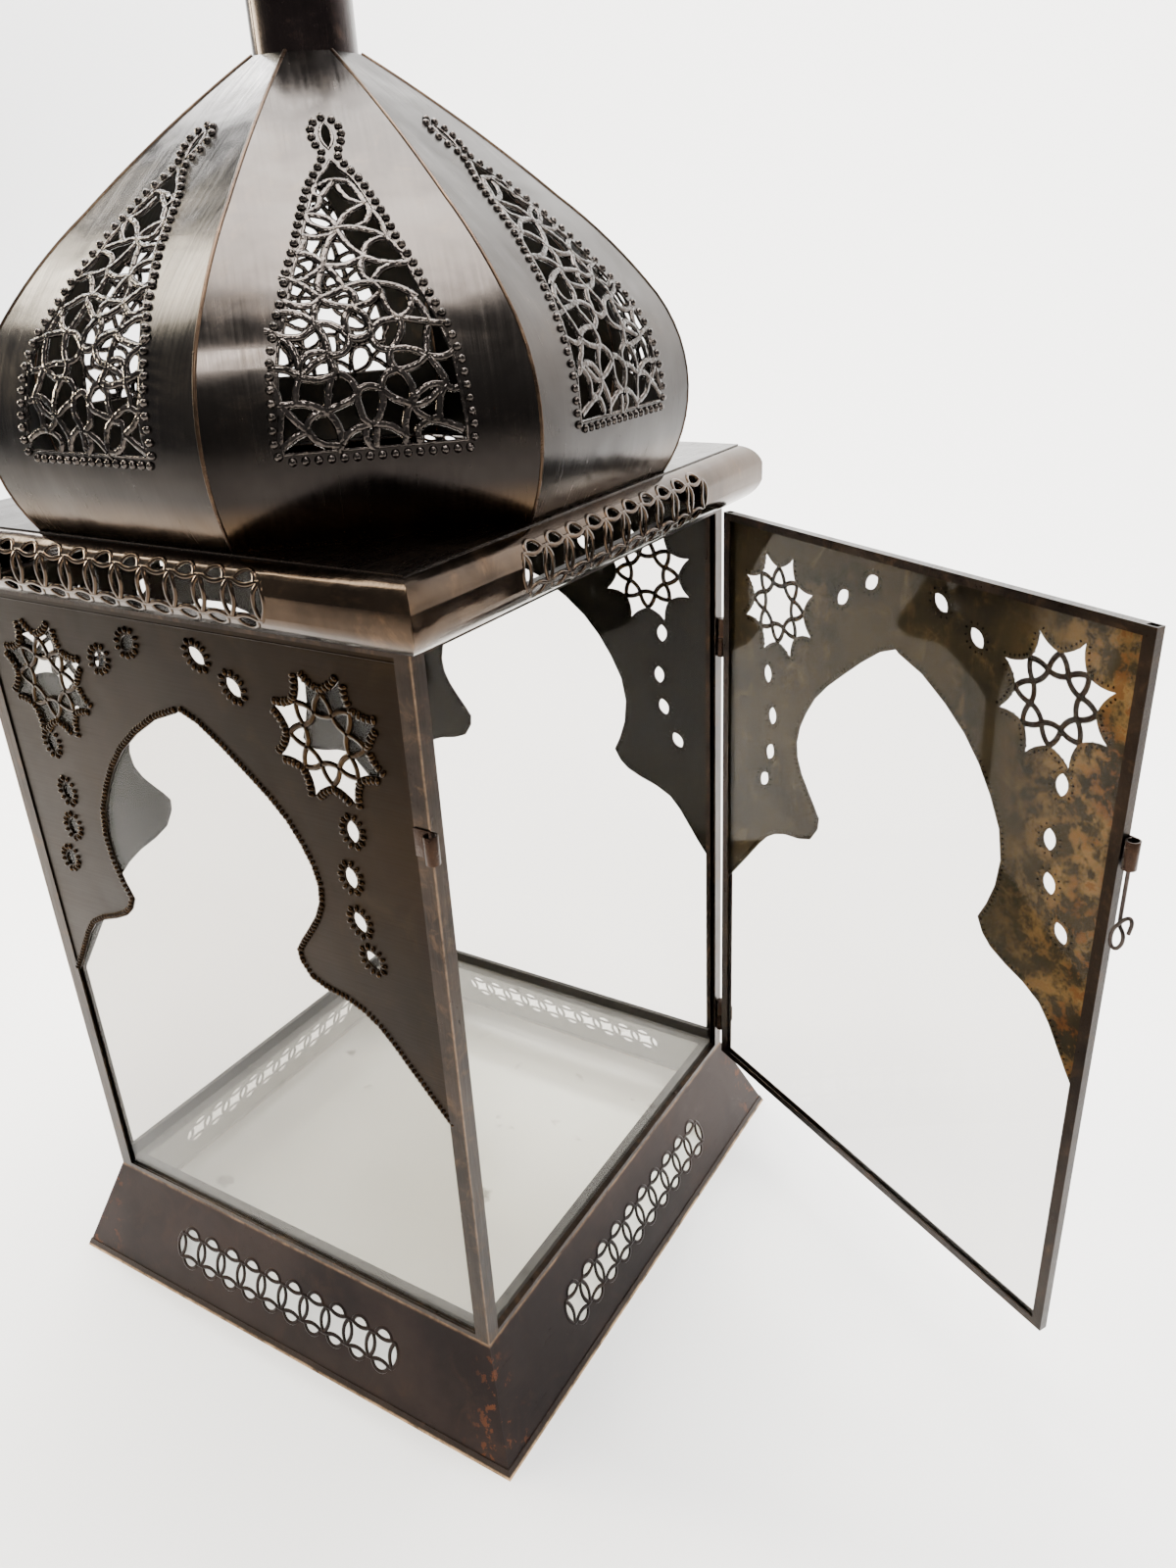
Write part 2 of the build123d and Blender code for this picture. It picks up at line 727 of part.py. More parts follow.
barrel_along = hinge_y - latch_y
barrel_across = latch_x - hinge_x
barrel_place = (barrel_along, barrel_across)
with BuildPart() as latch_barrel:
    with BuildSketch(door_plan(barrel_foot)):
        with Locations(barrel_place):
            tube(latch_tube)
        with Locations((barrel_along, door_face)):
            Rectangle(latch_leaf, sheet, align=(Align.MAX, Align.MIN))
        with Locations(barrel_place):
            Circle(latch_wire + latch_wire_play, mode=Mode.SUBTRACT)
    extrude(amount=latch_tube_length)
    with BuildSketch(door_plan(barrel_foot + latch_pinch)):
        with Locations(barrel_place):
            tube(latch_tube - sheet)
    extrude(amount=latch_tube_length, mode=Mode.SUBTRACT)
finish(latch_barrel.part, "latch_barrel")

# Latch pin: a wire with a flattened top, an eye bent at its foot and a hooked tail that crosses it.
wire_high = barrel_foot + latch_pinch + seat_gap
wire_low = barrel_foot - latch_drop
pin_axis = door_plan(0).from_local_coords(Vector(barrel_along, barrel_across, 0))
with BuildPart() as latch_pin:
    with BuildSketch(Plane(origin=pin_axis + Vector(0, 0, wire_high), x_dir=leaf_along, z_dir=(0, 0, 1))):
        RegularPolygon(radius=latch_head, side_count=wire_sides)
    extrude(amount=latch_head_height)
    with BuildLine() as bends:
        Polyline(
            pin_axis + Vector(0, 0, wire_high),
            *[
                pin_axis + leaf_along * along - leaf_outside * aside + Vector(0, 0, wire_low + up)
                for along, aside, up in latch_bends
            ],
        )
    with BuildSketch(Plane(origin=pin_axis + Vector(0, 0, wire_high), x_dir=leaf_along, z_dir=(0, 0, -1))):
        RegularPolygon(radius=latch_wire, side_count=wire_sides)
    sweep(path=bends.line, transition=Transition.RIGHT)
finish(latch_pin.part, "latch_pin")
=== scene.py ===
from math import atan2, cos, hypot, pi, radians, sin, tan

import bpy
from mathutils import Matrix, Vector, noise


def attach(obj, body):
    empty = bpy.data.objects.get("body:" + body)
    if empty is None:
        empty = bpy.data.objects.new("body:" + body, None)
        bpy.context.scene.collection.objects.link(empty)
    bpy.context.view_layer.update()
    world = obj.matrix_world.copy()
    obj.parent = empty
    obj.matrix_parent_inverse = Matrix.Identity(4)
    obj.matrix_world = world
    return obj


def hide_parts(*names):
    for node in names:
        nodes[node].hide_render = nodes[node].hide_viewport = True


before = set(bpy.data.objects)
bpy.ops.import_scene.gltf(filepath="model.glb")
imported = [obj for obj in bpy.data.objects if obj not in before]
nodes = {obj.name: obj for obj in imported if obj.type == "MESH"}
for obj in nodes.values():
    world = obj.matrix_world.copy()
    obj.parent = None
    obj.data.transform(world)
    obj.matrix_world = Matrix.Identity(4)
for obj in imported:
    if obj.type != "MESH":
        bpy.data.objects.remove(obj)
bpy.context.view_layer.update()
bpy.ops.object.select_all(action="DESELECT")

# ---------------------------------------------------------------- Camera
# The camera stands at the photograph's place: right of the front corner, a little above the box,
# looking down 25 degrees and rolled by nearly 3.
yaw, pitch, roll = radians(-31.84), radians(25.02), radians(2.85)
forward = Vector((sin(yaw) * cos(pitch), cos(yaw) * cos(pitch), -sin(pitch)))
level = Vector((cos(yaw), -sin(yaw), 0))
down = forward.cross(level)
across = level * cos(roll) + down * sin(roll)
up = level * sin(roll) - down * cos(roll)
view = Matrix((across, up, -forward)).transposed().to_4x4()
view.translation = (0.4465, -0.4961, 0.6104)
bpy.ops.object.camera_add()
camera = bpy.context.object
camera.matrix_world = view
camera.data.sensor_fit = "HORIZONTAL"
camera.data.sensor_width = 36
camera.data.lens = 35.7
camera.data.clip_start = 0.01
bpy.context.scene.camera = camera

# ---------------------------------------------------------------- Floor, backdrop and lights
# A pale seamless paper that rises behind the lantern, a soft light overhead, two warm ones on the
# left, a small one behind the camera, and a strip that lights the paper.
bpy.ops.object.select_all(action="DESELECT")
bpy.ops.mesh.primitive_plane_add(size=1)
paper = bpy.context.object
paper.name = "paper_floor"
bpy.ops.transform.resize(value=(16, 7, 1))
bpy.ops.transform.translate(value=(0, -0.9, 0))
bpy.ops.object.transform_apply(location=True, rotation=True, scale=True)
bpy.ops.object.mode_set(mode="EDIT")
bpy.ops.mesh.select_mode(type="EDGE")
bpy.ops.mesh.select_all(action="DESELECT")
bpy.ops.object.mode_set(mode="OBJECT")
for edge in paper.data.edges:
    edge.select = all(paper.data.vertices[v].co.y > 2 for v in edge.vertices)
bpy.ops.object.mode_set(mode="EDIT")
bpy.ops.mesh.extrude_region_move(TRANSFORM_OT_translate={"value": (0, 0.4, 4)})
bpy.ops.object.mode_set(mode="OBJECT")
for edge in paper.data.edges:
    edge.select = all(abs(paper.data.vertices[v].co.y - 2.6) < 0.01 for v in edge.vertices)
bpy.ops.object.mode_set(mode="EDIT")
bpy.ops.mesh.bevel(offset=1.4, segments=10)
bpy.ops.mesh.select_all(action="SELECT")
bpy.ops.mesh.normals_make_consistent(inside=False)
bpy.ops.object.mode_set(mode="OBJECT")
bpy.ops.object.shade_smooth()
paper_white = bpy.data.materials.new("paper_white")
paper_white.use_nodes = True
paper_white.node_tree.nodes["Principled BSDF"].inputs["Base Color"].default_value = (0.93, 0.925, 0.915, 1)
paper_white.node_tree.nodes["Principled BSDF"].inputs["Roughness"].default_value = 0.9
paper.data.materials.append(paper_white)

for name, place, aim, width, height, power, colour in (
    ("light_overhead", (-0.1, 0.1, 2.6), (-0.05, 0, 0.4), 1.5, 1.3, 150, (1.0, 0.985, 0.965)),
    ("light_behind_camera", (1.0, -1.25, 2.1), (0, 0, 0.55), 0.35, 0.35, 26, (1.0, 0.985, 0.96)),
    ("light_left", (-2.1, -0.35, 0.95), (0, 0, 0.3), 0.4, 0.4, 34, (1.0, 0.84, 0.60)),
    ("light_left_high", (-1.65, -0.3, 2.1), (0, 0, 0.6), 0.5, 0.8, 40, (1.0, 0.94, 0.78)),
    ("light_back", (-1.2, 1.3, 3.0), (-1.2, 2.6, 0.4), 9.0, 0.6, 520, (1.0, 0.99, 0.98)),
):
    bpy.ops.object.light_add(type="AREA", location=place)
    light = bpy.context.object
    light.name = name
    light.rotation_euler = (Vector(aim) - Vector(place)).to_track_quat("-Z", "Y").to_euler()
    light.data.shape = "RECTANGLE"
    light.data.size, light.data.size_y = width, height
    light.data.energy = power
    light.data.color = colour
world = bpy.data.worlds.new("studio")
bpy.context.scene.world = world
world.use_nodes = True
world.node_tree.nodes["Background"].inputs["Color"].default_value = (0.97, 0.98, 1.0, 1)
world.node_tree.nodes["Background"].inputs["Strength"].default_value = 0.5


# ---------------------------------------------------------------- Base hem
# The skirt's foot is wrapped in a folded strip of the same sheet, pressed flat and soldered at
# the corners. The patina is rubbed off along its lower edge, where the brass shows.
def group_socket(tree, name, kind, value=None, output=False):
    socket = tree.interface.new_socket(name, in_out="OUTPUT" if output else "INPUT", socket_type=kind)
    if value is not None:
        socket.default_value = value


def add_node(tree, kind, **settings):
    node = tree.nodes.new(kind)
    for key, value in settings.items():
        if key in ("data_type", "operation", "blend_type", "noise_dimensions", "feature", "clamp", "interpolation_type"):
            setattr(node, key, value)
        else:
            node.inputs[key].default_value = value
    return node


# Aged sheet metal: three tones laid over each other in clouds, with a fine grain that is drawn
# out along one direction, and the dents and brush marks of handwork as a height.
aged = bpy.data.node_groups.new("aged_sheet", "ShaderNodeTree")
group_socket(aged, "Vector", "NodeSocketVector")
group_socket(aged, "Body", "NodeSocketColor", (0.1, 0.08, 0.06, 1))
group_socket(aged, "Dark", "NodeSocketColor", (0.03, 0.025, 0.02, 1))
group_socket(aged, "Bright", "NodeSocketColor", (0.3, 0.2, 0.12, 1))
group_socket(aged, "Clouds", "NodeSocketFloat", 14.0)
group_socket(aged, "Dark share", "NodeSocketFloat", 0.5)
group_socket(aged, "Bright share", "NodeSocketFloat", 0.3)
group_socket(aged, "Brushing", "NodeSocketVector", (900.0, 30.0, 900.0))
group_socket(aged, "Smooth", "NodeSocketFloat", 0.3)
group_socket(aged, "Rough", "NodeSocketFloat", 0.5)
group_socket(aged, "Dents", "NodeSocketFloat", 0.4)
group_socket(aged, "Brush depth", "NodeSocketFloat", 0.1)
group_socket(aged, "Hammering", "NodeSocketFloat", 0.0)
group_socket(aged, "Color", "NodeSocketColor", output=True)
group_socket(aged, "Roughness", "NodeSocketFloat", output=True)
group_socket(aged, "Height", "NodeSocketFloat", output=True)
source = aged.nodes.new("NodeGroupInput")
sink = aged.nodes.new("NodeGroupOutput")
wire = aged.links.new
clouds = add_node(aged, "ShaderNodeTexNoise", Detail=5.0, Roughness=0.62)
wire(source.outputs["Vector"], clouds.inputs["Vector"])
wire(source.outputs["Clouds"], clouds.inputs["Scale"])
finer_scale = add_node(aged, "ShaderNodeMath", operation="MULTIPLY_ADD")
finer_scale.inputs[1].default_value = 3.7
finer_scale.inputs[2].default_value = 5.0
wire(source.outputs["Clouds"], finer_scale.inputs[0])
finer = add_node(aged, "ShaderNodeTexNoise", Detail=6.0, Roughness=0.7, Distortion=0.8)
wire(source.outputs["Vector"], finer.inputs["Vector"])
wire(finer_scale.outputs[0], finer.inputs["Scale"])
drawn = add_node(aged, "ShaderNodeVectorMath", operation="MULTIPLY")
wire(source.outputs["Vector"], drawn.inputs[0])
wire(source.outputs["Brushing"], drawn.inputs[1])
brush = add_node(aged, "ShaderNodeTexNoise", Scale=1.0, Detail=3.0, Roughness=0.6)
wire(drawn.outputs[0], brush.inputs["Vector"])
dark_mask = add_node(aged, "ShaderNodeMapRange", interpolation_type="SMOOTHSTEP")
dark_mask.inputs["From Min"].default_value = 0.38
dark_mask.inputs["From Max"].default_value = 0.66
wire(clouds.outputs["Fac"], dark_mask.inputs["Value"])
dark_share = add_node(aged, "ShaderNodeMath", operation="MULTIPLY")
wire(dark_mask.outputs[0], dark_share.inputs[0])
wire(source.outputs["Dark share"], dark_share.inputs[1])
first = add_node(aged, "ShaderNodeMix", data_type="RGBA")
wire(dark_share.outputs[0], first.inputs["Factor"])
wire(source.outputs["Body"], first.inputs[6])
wire(source.outputs["Dark"], first.inputs[7])
bright_mask = add_node(aged, "ShaderNodeMapRange", interpolation_type="SMOOTHSTEP")
bright_mask.inputs["From Min"].default_value = 0.5
bright_mask.inputs["From Max"].default_value = 0.75
wire(finer.outputs["Fac"], bright_mask.inputs["Value"])
bright_share = add_node(aged, "ShaderNodeMath", operation="MULTIPLY")
wire(bright_mask.outputs[0], bright_share.inputs[0])
wire(source.outputs["Bright share"], bright_share.inputs[1])
second = add_node(aged, "ShaderNodeMix", data_type="RGBA")
wire(bright_share.outputs[0], second.inputs["Factor"])
wire(first.outputs[2], second.inputs[6])
wire(source.outputs["Bright"], second.inputs[7])
wire(second.outputs[2], sink.inputs["Color"])
finish_mix = add_node(aged, "ShaderNodeMath", operation="MULTIPLY_ADD")
finish_mix.inputs[1].default_value = 0.55
wire(finer.outputs["Fac"], finish_mix.inputs[0])
brush_part = add_node(aged, "ShaderNodeMath", operation="MULTIPLY")
brush_part.inputs[1].default_value = 0.45
wire(brush.outputs["Fac"], brush_part.inputs[0])
wire(brush_part.outputs[0], finish_mix.inputs[2])
rough_range = add_node(aged, "ShaderNodeMapRange")
rough_range.inputs["From Min"].default_value = 0.3
rough_range.inputs["From Max"].default_value = 0.7
wire(finish_mix.outputs[0], rough_range.inputs["Value"])
wire(source.outputs["Smooth"], rough_range.inputs["To Min"])
wire(source.outputs["Rough"], rough_range.inputs["To Max"])
wire(rough_range.outputs[0], sink.inputs["Roughness"])
dents = add_node(aged, "ShaderNodeTexNoise", Scale=17.0, Detail=2.0, Roughness=0.45, Distortion=0.4)
wire(source.outputs["Vector"], dents.inputs["Vector"])
dent_part = add_node(aged, "ShaderNodeMath", operation="MULTIPLY")
wire(dents.outputs["Fac"], dent_part.inputs[0])
wire(source.outputs["Dents"], dent_part.inputs[1])
height = add_node(aged, "ShaderNodeMath", operation="MULTIPLY_ADD")
wire(brush.outputs["Fac"], height.inputs[0])
wire(source.outputs["Brush depth"], height.inputs[1])
wire(dent_part.outputs[0], height.inputs[2])
hammer = add_node(aged, "ShaderNodeTexNoise", Scale=330.0, Detail=1.5, Roughness=0.4, Distortion=0.6)
wire(source.outputs["Vector"], hammer.inputs["Vector"])
hammered = add_node(aged, "ShaderNodeMath", operation="MULTIPLY_ADD")
wire(hammer.outputs["Fac"], hammered.inputs[0])
wire(source.outputs["Hammering"], hammered.inputs[1])
wire(height.outputs[0], hammered.inputs[2])
wire(hammered.outputs[0], sink.inputs["Height"])


def metal(name, body, dark, bright, metallic=1.0, bump=0.35, reach=0.004, flat=False, **settings):
    """A material of aged sheet metal, on the lantern's own coordinates or the sheet's flat pattern."""
    material = bpy.data.materials.new(name)
    material.use_nodes = True
    tree = material.node_tree
    shader = tree.nodes["Principled BSDF"]
    shader.inputs["Metallic"].default_value = metallic
    place = tree.nodes.new("ShaderNodeTexCoord")
    sheet_metal = tree.nodes.new("ShaderNodeGroup")
    sheet_metal.name = "aged_sheet"
    sheet_metal.node_tree = aged
    for key, value in {"Body": (*body, 1), "Dark": (*dark, 1), "Bright": (*bright, 1), **settings}.items():
        sheet_metal.inputs[key.replace("_", " ")].default_value = value
    tree.links.new(place.outputs["UV" if flat else "Object"], sheet_metal.inputs["Vector"])
    tree.links.new(sheet_metal.outputs["Color"], shader.inputs["Base Color"])
    tree.links.new(sheet_metal.outputs["Roughness"], shader.inputs["Roughness"])
    relief = tree.nodes.new("ShaderNodeBump")
    relief.inputs["Strength"].default_value = bump
    relief.inputs["Distance"].default_value = reach
    tree.links.new(sheet_metal.outputs["Height"], relief.inputs["Height"])
    tree.links.new(relief.outputs["Normal"], shader.inputs["Normal"])
    return material


def wear_and_shade(material, colour, masks, share=0.8, patches=90.0, least=0.0):
    """Lays a second colour over a material where one of the masks, each a place along an axis, is near: wear and rust
    on most parts, painted shade on the dome.
    """
    tree = material.node_tree
    shader = tree.nodes["Principled BSDF"]
    under = shader.inputs["Base Color"].links[0].from_socket
    place = tree.nodes.new("ShaderNodeTexCoord")
    split, flat_split = (tree.nodes.new("ShaderNodeSeparateXYZ") for _ in range(2))
    tree.links.new(place.outputs["Object"], split.inputs[0])
    tree.links.new(place.outputs["UV"], flat_split.inputs[0])
    ragged = add_node(tree, "ShaderNodeTexNoise", Scale=patches, Detail=4.0, Roughness=0.7)
    tree.links.new(place.outputs["Object"], ragged.inputs["Vector"])
    total = None
    for axis, low, high in masks:
        near = add_node(tree, "ShaderNodeMapRange", interpolation_type="SMOOTHSTEP")
        near.inputs["From Min"].default_value = low
        near.inputs["From Max"].default_value = high
        if axis in "uv":
            tree.links.new(flat_split.outputs["uv".index(axis)], near.inputs["Value"])
        elif axis in "xy":
            size = add_node(tree, "ShaderNodeMath", operation="ABSOLUTE")
            tree.links.new(split.outputs["XYZ".index(axis.upper())], size.inputs[0])
            tree.links.new(size.outputs[0], near.inputs["Value"])
        else:
            tree.links.new(split.outputs[2], near.inputs["Value"])
        if total is None:
            total = near.outputs[0]
        else:
            joint = add_node(tree, "ShaderNodeMath", operation="MULTIPLY")
            tree.links.new(total, joint.inputs[0])
            tree.links.new(near.outputs[0], joint.inputs[1])
            total = joint.outputs[0]
    patchy = add_node(tree, "ShaderNodeMapRange")
    patchy.inputs["From Min"].default_value = 0.3
    patchy.inputs["From Max"].default_value = 0.6
    patchy.inputs["To Min"].default_value = least
    patchy.inputs["To Max"].default_value = share
    tree.links.new(ragged.outputs["Fac"], patchy.inputs["Value"])
    amount = add_node(tree, "ShaderNodeMath", operation="MULTIPLY")
    tree.links.new(total, amount.inputs[0])
    tree.links.new(patchy.outputs[0], amount.inputs[1])
    over = add_node(tree, "ShaderNodeMix", data_type="RGBA")
    over.inputs[7].default_value = (*colour, 1)
    tree.links.new(amount.outputs[0], over.inputs["Factor"])
    tree.links.new(under, over.inputs[6])
    tree.links.new(over.outputs[2], shader.inputs["Base Color"])


hem_metal = metal(
    "hem_metal", (0.026, 0.019, 0.016), (0.012, 0.009, 0.008), (0.075, 0.045, 0.027),
    Clouds=30.0, Smooth=0.26, Rough=0.45, Dents=0.3,
)
wear_and_shade(hem_metal, (0.55, 0.36, 0.20), [("z", 0.0022, 0.0006)])
nodes["base_hem"].material_slots[0].material = hem_metal


# ---------------------------------------------------------------- Skirt
# Four flared sheets stand on the hem and carry the box. Each is pierced with a chain of ten
# interlaced links, cut out and chased so that the bars between the holes are round.
def arc(start, through, end, steps=8):
    """Points of the circular arc through three places, without its end."""
    ax, ay, bx, by, cx, cy = *start, *through, *end
    turn = 2 * (ax * (by - cy) + bx * (cy - ay) + cx * (ay - by))
    if abs(turn) < 1e-12:
        return [(ax + (cx - ax) * n / steps, ay + (cy - ay) * n / steps) for n in range(steps)]
    aa, bb, cc = ax * ax + ay * ay, bx * bx + by * by, cx * cx + cy * cy
    ux = (aa * (by - cy) + bb * (cy - ay) + cc * (ay - by)) / turn
    uy = (aa * (cx - bx) + bb * (ax - cx) + cc * (bx - ax)) / turn
    radius = hypot(ax - ux, ay - uy)
    first, middle, last = (atan2(y - uy, x - ux) for x, y in (start, through, end))
    span = (last - first) % (2 * pi)
    if (middle - first) % (2 * pi) > span:
        span -= 2 * pi
    return [(ux + radius * cos(first + span * n / steps), uy + radius * sin(first + span * n / steps)) for n in range(steps)]


def lens(x, y, length, width, tilt=0.0, steps=6):
    """Closed pointed oval of a length and width about a place, upright unless tilted, in millimetres."""
    tip, side = length / 2, width / 2
    points = arc((0, tip), (side, 0), (0, -tip), steps) + arc((0, -tip), (-side, 0), (0, tip), steps)
    c, s = cos(radians(tilt)), sin(radians(tilt))
    return [(x + px * c - py * s, y + px * s + py * c) for px, py in points]


def flat_sheet(name, outlines):
    """A flat sheet cut along closed outlines in millimetres, the first its edge and the rest holes."""
    pattern = bpy.data.curves.new(name, "CURVE")
    pattern.dimensions = "2D"
    pattern.fill_mode = "BOTH"
    for outline in outlines:
        spline = pattern.splines.new("POLY")
        spline.points.add(len(outline) - 1)
        for point, (x, y) in zip(spline.points, outline):
            point.co = (x / 1000, y / 1000, 0, 1)
        spline.use_cyclic_u = True
    piece = bpy.data.objects.new(name, pattern)
    bpy.context.collection.objects.link(piece)
    bpy.ops.object.select_all(action="DESELECT")
    piece.select_set(True)
    bpy.context.view_layer.objects.active = piece
    bpy.ops.object.convert(target="MESH")
    piece = bpy.context.object
    bpy.ops.object.mode_set(mode="EDIT")
    bpy.ops.mesh.select_all(action="SELECT")
    bpy.ops.mesh.remove_doubles(threshold=0.00002)
    bpy.ops.object.mode_set(mode="OBJECT")
    if sum(face.normal.z for face in piece.data.polygons) < 0:
        bpy.ops.object.mode_set(mode="EDIT")
        bpy.ops.mesh.flip_normals()
        bpy.ops.object.mode_set(mode="OBJECT")
    return piece


def round_bars(name, runs, width, height, sides=1):
    """Chased bars along runs of flat points in millimetres: round wires pressed to a height."""
    pattern = bpy.data.curves.new(name, "CURVE")
    pattern.dimensions = "3D"
    pattern.bevel_depth = width / 2000
    pattern.bevel_resolution = sides
    for run, closed in runs:
        spline = pattern.splines.new("POLY")
        spline.points.add(len(run) - 1)
        for point, (x, y) in zip(spline.points, run):
            point.co = (x / 1000, y / 1000, 0, 1)
        spline.use_cyclic_u = closed
    piece = bpy.data.objects.new(name, pattern)
    bpy.context.collection.objects.link(piece)
    bpy.ops.object.select_all(action="DESELECT")
    piece.select_set(True)
    bpy.context.view_layer.objects.active = piece
    bpy.ops.object.convert(target="MESH")
    piece = bpy.context.object
    bpy.ops.object.mode_set(mode="EDIT")
    bpy.ops.mesh.select_all(action="SELECT")
    bpy.ops.transform.resize(value=(1, 1, height / width), center_override=(0, 0, 0))
    bpy.ops.object.mode_set(mode="OBJECT")
    bpy.ops.object.shade_smooth()
    return piece


def punched_beads(name, places, height):
    """Domes punched up from behind. Each place is x, y, direction of its length, length and width, in millimetres."""
    bpy.ops.object.select_all(action="DESELECT")
    bpy.ops.mesh.primitive_uv_sphere_add(segments=8, ring_count=6, radius=0.5)
    punch = bpy.context.object
    bpy.ops.object.mode_set(mode="EDIT")
    bpy.ops.mesh.select_all(action="SELECT")
    bpy.ops.mesh.bisect(plane_co=(0, 0, -0.05), plane_no=(0, 0, 1), clear_inner=True)
    bpy.ops.object.mode_set(mode="OBJECT")
    shape = [vertex.co.copy() for vertex in punch.data.vertices]
    faces = [tuple(face.vertices) for face in punch.data.polygons]
    bpy.data.objects.remove(punch)
    points, walls = [], []
    for x, y, turn, length, width in places:
        first = len(points)
        c, s = cos(turn), sin(turn)
        for co in shape:
            along, aside = co.x * length, co.y * width
            points.append(((x + along * c - aside * s) / 1000, (y + along * s + aside * c) / 1000, 2 * co.z * height / 1000))
        walls += [tuple(first + v for v in face) for face in faces]
    mesh = bpy.data.meshes.new(name)
    mesh.from_pydata(points, [], walls)
    piece = bpy.data.objects.new(name, mesh)
    bpy.context.collection.objects.link(piece)
    for face in mesh.polygons:
        face.use_smooth = True
    return piece


def bead_row(path, pitch, offset, length, width, closed=False):
    """Places for beads along a path, beside it by an offset to its left, their length across the path."""
    points = list(path) + ([path[0]] if closed else [])
    places, walked, due = [], 0.0, pitch / 2
    for (ax, ay), (bx, by) in zip(points, points[1:]):
        step = hypot(bx - ax, by - ay)
        while step > 0 and due <= walked + step:
            share = (due - walked) / step
            nx, ny = -(by - ay) / step, (bx - ax) / step
            x, y = ax + (bx - ax) * share + nx * offset, ay + (by - ay) * share + ny * offset
            places.append((x, y, atan2(ny, nx), length, width))
            due += pitch
        walked += step
    return places


def wrap(piece, section, turn, levels=False):
    """Sets a flat piece on a side of the lantern. Its y follows a section of reach and height, its x runs
    along the side, and its thickness points outwards. The flat pattern stays as its UV map."""
    mesh = piece.data
    lengths = [0.0]
    for (ra, za), (rb, zb) in zip(section, section[1:]):
        lengths.append(lengths[-1] + hypot(rb - ra, zb - za))
    if levels:
        bpy.ops.object.select_all(action="DESELECT")
        piece.select_set(True)
        bpy.context.view_layer.objects.active = piece
        bpy.ops.object.mode_set(mode="EDIT")
        for length in lengths[1:-1]:
            bpy.ops.mesh.select_all(action="SELECT")
            bpy.ops.mesh.bisect(plane_co=(0, length / 1000, 0), plane_no=(0, 1, 0))
        bpy.ops.object.mode_set(mode="OBJECT")
    pattern = mesh.uv_layers.new(name="flat") if not mesh.uv_layers else mesh.uv_layers[0]
    for loop, corner in zip(mesh.loops, pattern.data):
        place = mesh.vertices[loop.vertex_index].co
        corner.uv = (place.x + turn * 0.0137, place.y)
    slopes = [atan2(zb - za, rb - ra) for (ra, za), (rb, zb) in zip(section, section[1:])]
    bends = [slopes[0]] + [(a + b) / 2 for a, b in zip(slopes, slopes[1:])] + [slopes[-1]]
    outwards = Vector((cos(radians(turn)), sin(radians(turn)), 0))
    along = Vector((0, 0, 1)).cross(outwards)
    for vertex in mesh.vertices:
        x, length, rise = vertex.co.x * 1000, vertex.co.y * 1000, vertex.co.z * 1000
        index = 0
        while index < len(slopes) - 1 and length > lengths[index + 1]:
            index += 1
        share = (length - lengths[index]) / (lengths[index + 1] - lengths[index])
        (ra, za), (rb, zb) = section[index], section[index + 1]
        lean = bends[index] + (bends[index + 1] - bends[index]) * min(max(share, 0), 1)
        reach = ra + (rb - ra) * share + sin(lean) * rise
        height = za + (zb - za) * share - cos(lean) * rise
        vertex.co = (along * x + outwards * reach + Vector((0, 0, height))) / 1000
    mesh.update()


def give_thickness(piece, thickness, outside, inside=None):
    """Thickens a wrapped sheet inwards and gives its two sides their finishes."""
    piece.data.materials.clear()
    piece.data.materials.append(outside)
    piece.data.materials.append(inside or outside)
    bpy.ops.object.select_all(action="DESELECT")
    piece.select_set(True)
    bpy.context.view_layer.objects.active = piece
    wall = piece.modifiers.new("wall", "SOLIDIFY")
    wall.thickness = thickness / 1000
    wall.offset = -1
    wall.material_offset = 1
    wall.material_offset_rim = 0
    bpy.ops.object.modifier_apply(modifier="wall")
    bpy.ops.object.shade_smooth_by_angle(angle=radians(32))


def dress(piece, body, slot, *materials):
    """Gives a piece its materials and the body that it rides on. The slot argument is not used."""
    if materials:
        piece.data.materials.clear()
        for material in materials:
            piece.data.materials.append(material)
    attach(piece, body)


def chain_bars(links, pitch):
    """The bars of a chain of links, and the outline of the opening that they span, centred."""
    bars, upper = [], []
    ends = (links * pitch) / 2
    for link in range(links + 1):
        x = -ends + link * pitch
        for side in (-1, 1):
            bars.append((arc((x, 8.2), (x + side * 3.1, 0), (x, -8.2), 8) + [(x, -8.2)], False))
    for link in range(links):
        x = -ends + (link + 0.5) * pitch
        for side in (-1, 1):
            left, right = (x - 6.0, side * 8.2), (x + 6.0, side * 8.2)
            bars.append((arc(left, (x, side * 13.5), right, 8) + [right], False))
            bars.append(([(x - 8.8, side * 8.2)] + arc(left, (x, side * 6.5), right, 6) + [right, (x + 8.8, side * 8.2)], False))
        upper += [(x - pitch / 2, 8.2)] + arc((x - 6.0, 8.2), (x, 13.5), (x + 6.0, 8.2), 8) + [(x + 6.0, 8.2)]
    upper.append((ends, 8.2))
    right = arc((ends, 8.2), (ends + 3.1, 0), (ends, -8.2), 8)[1:]
    lower = [(-px, -py) for px, py in upper]
    left = [(-px, -py) for px, py in right]
    return bars, upper + right + lower + left


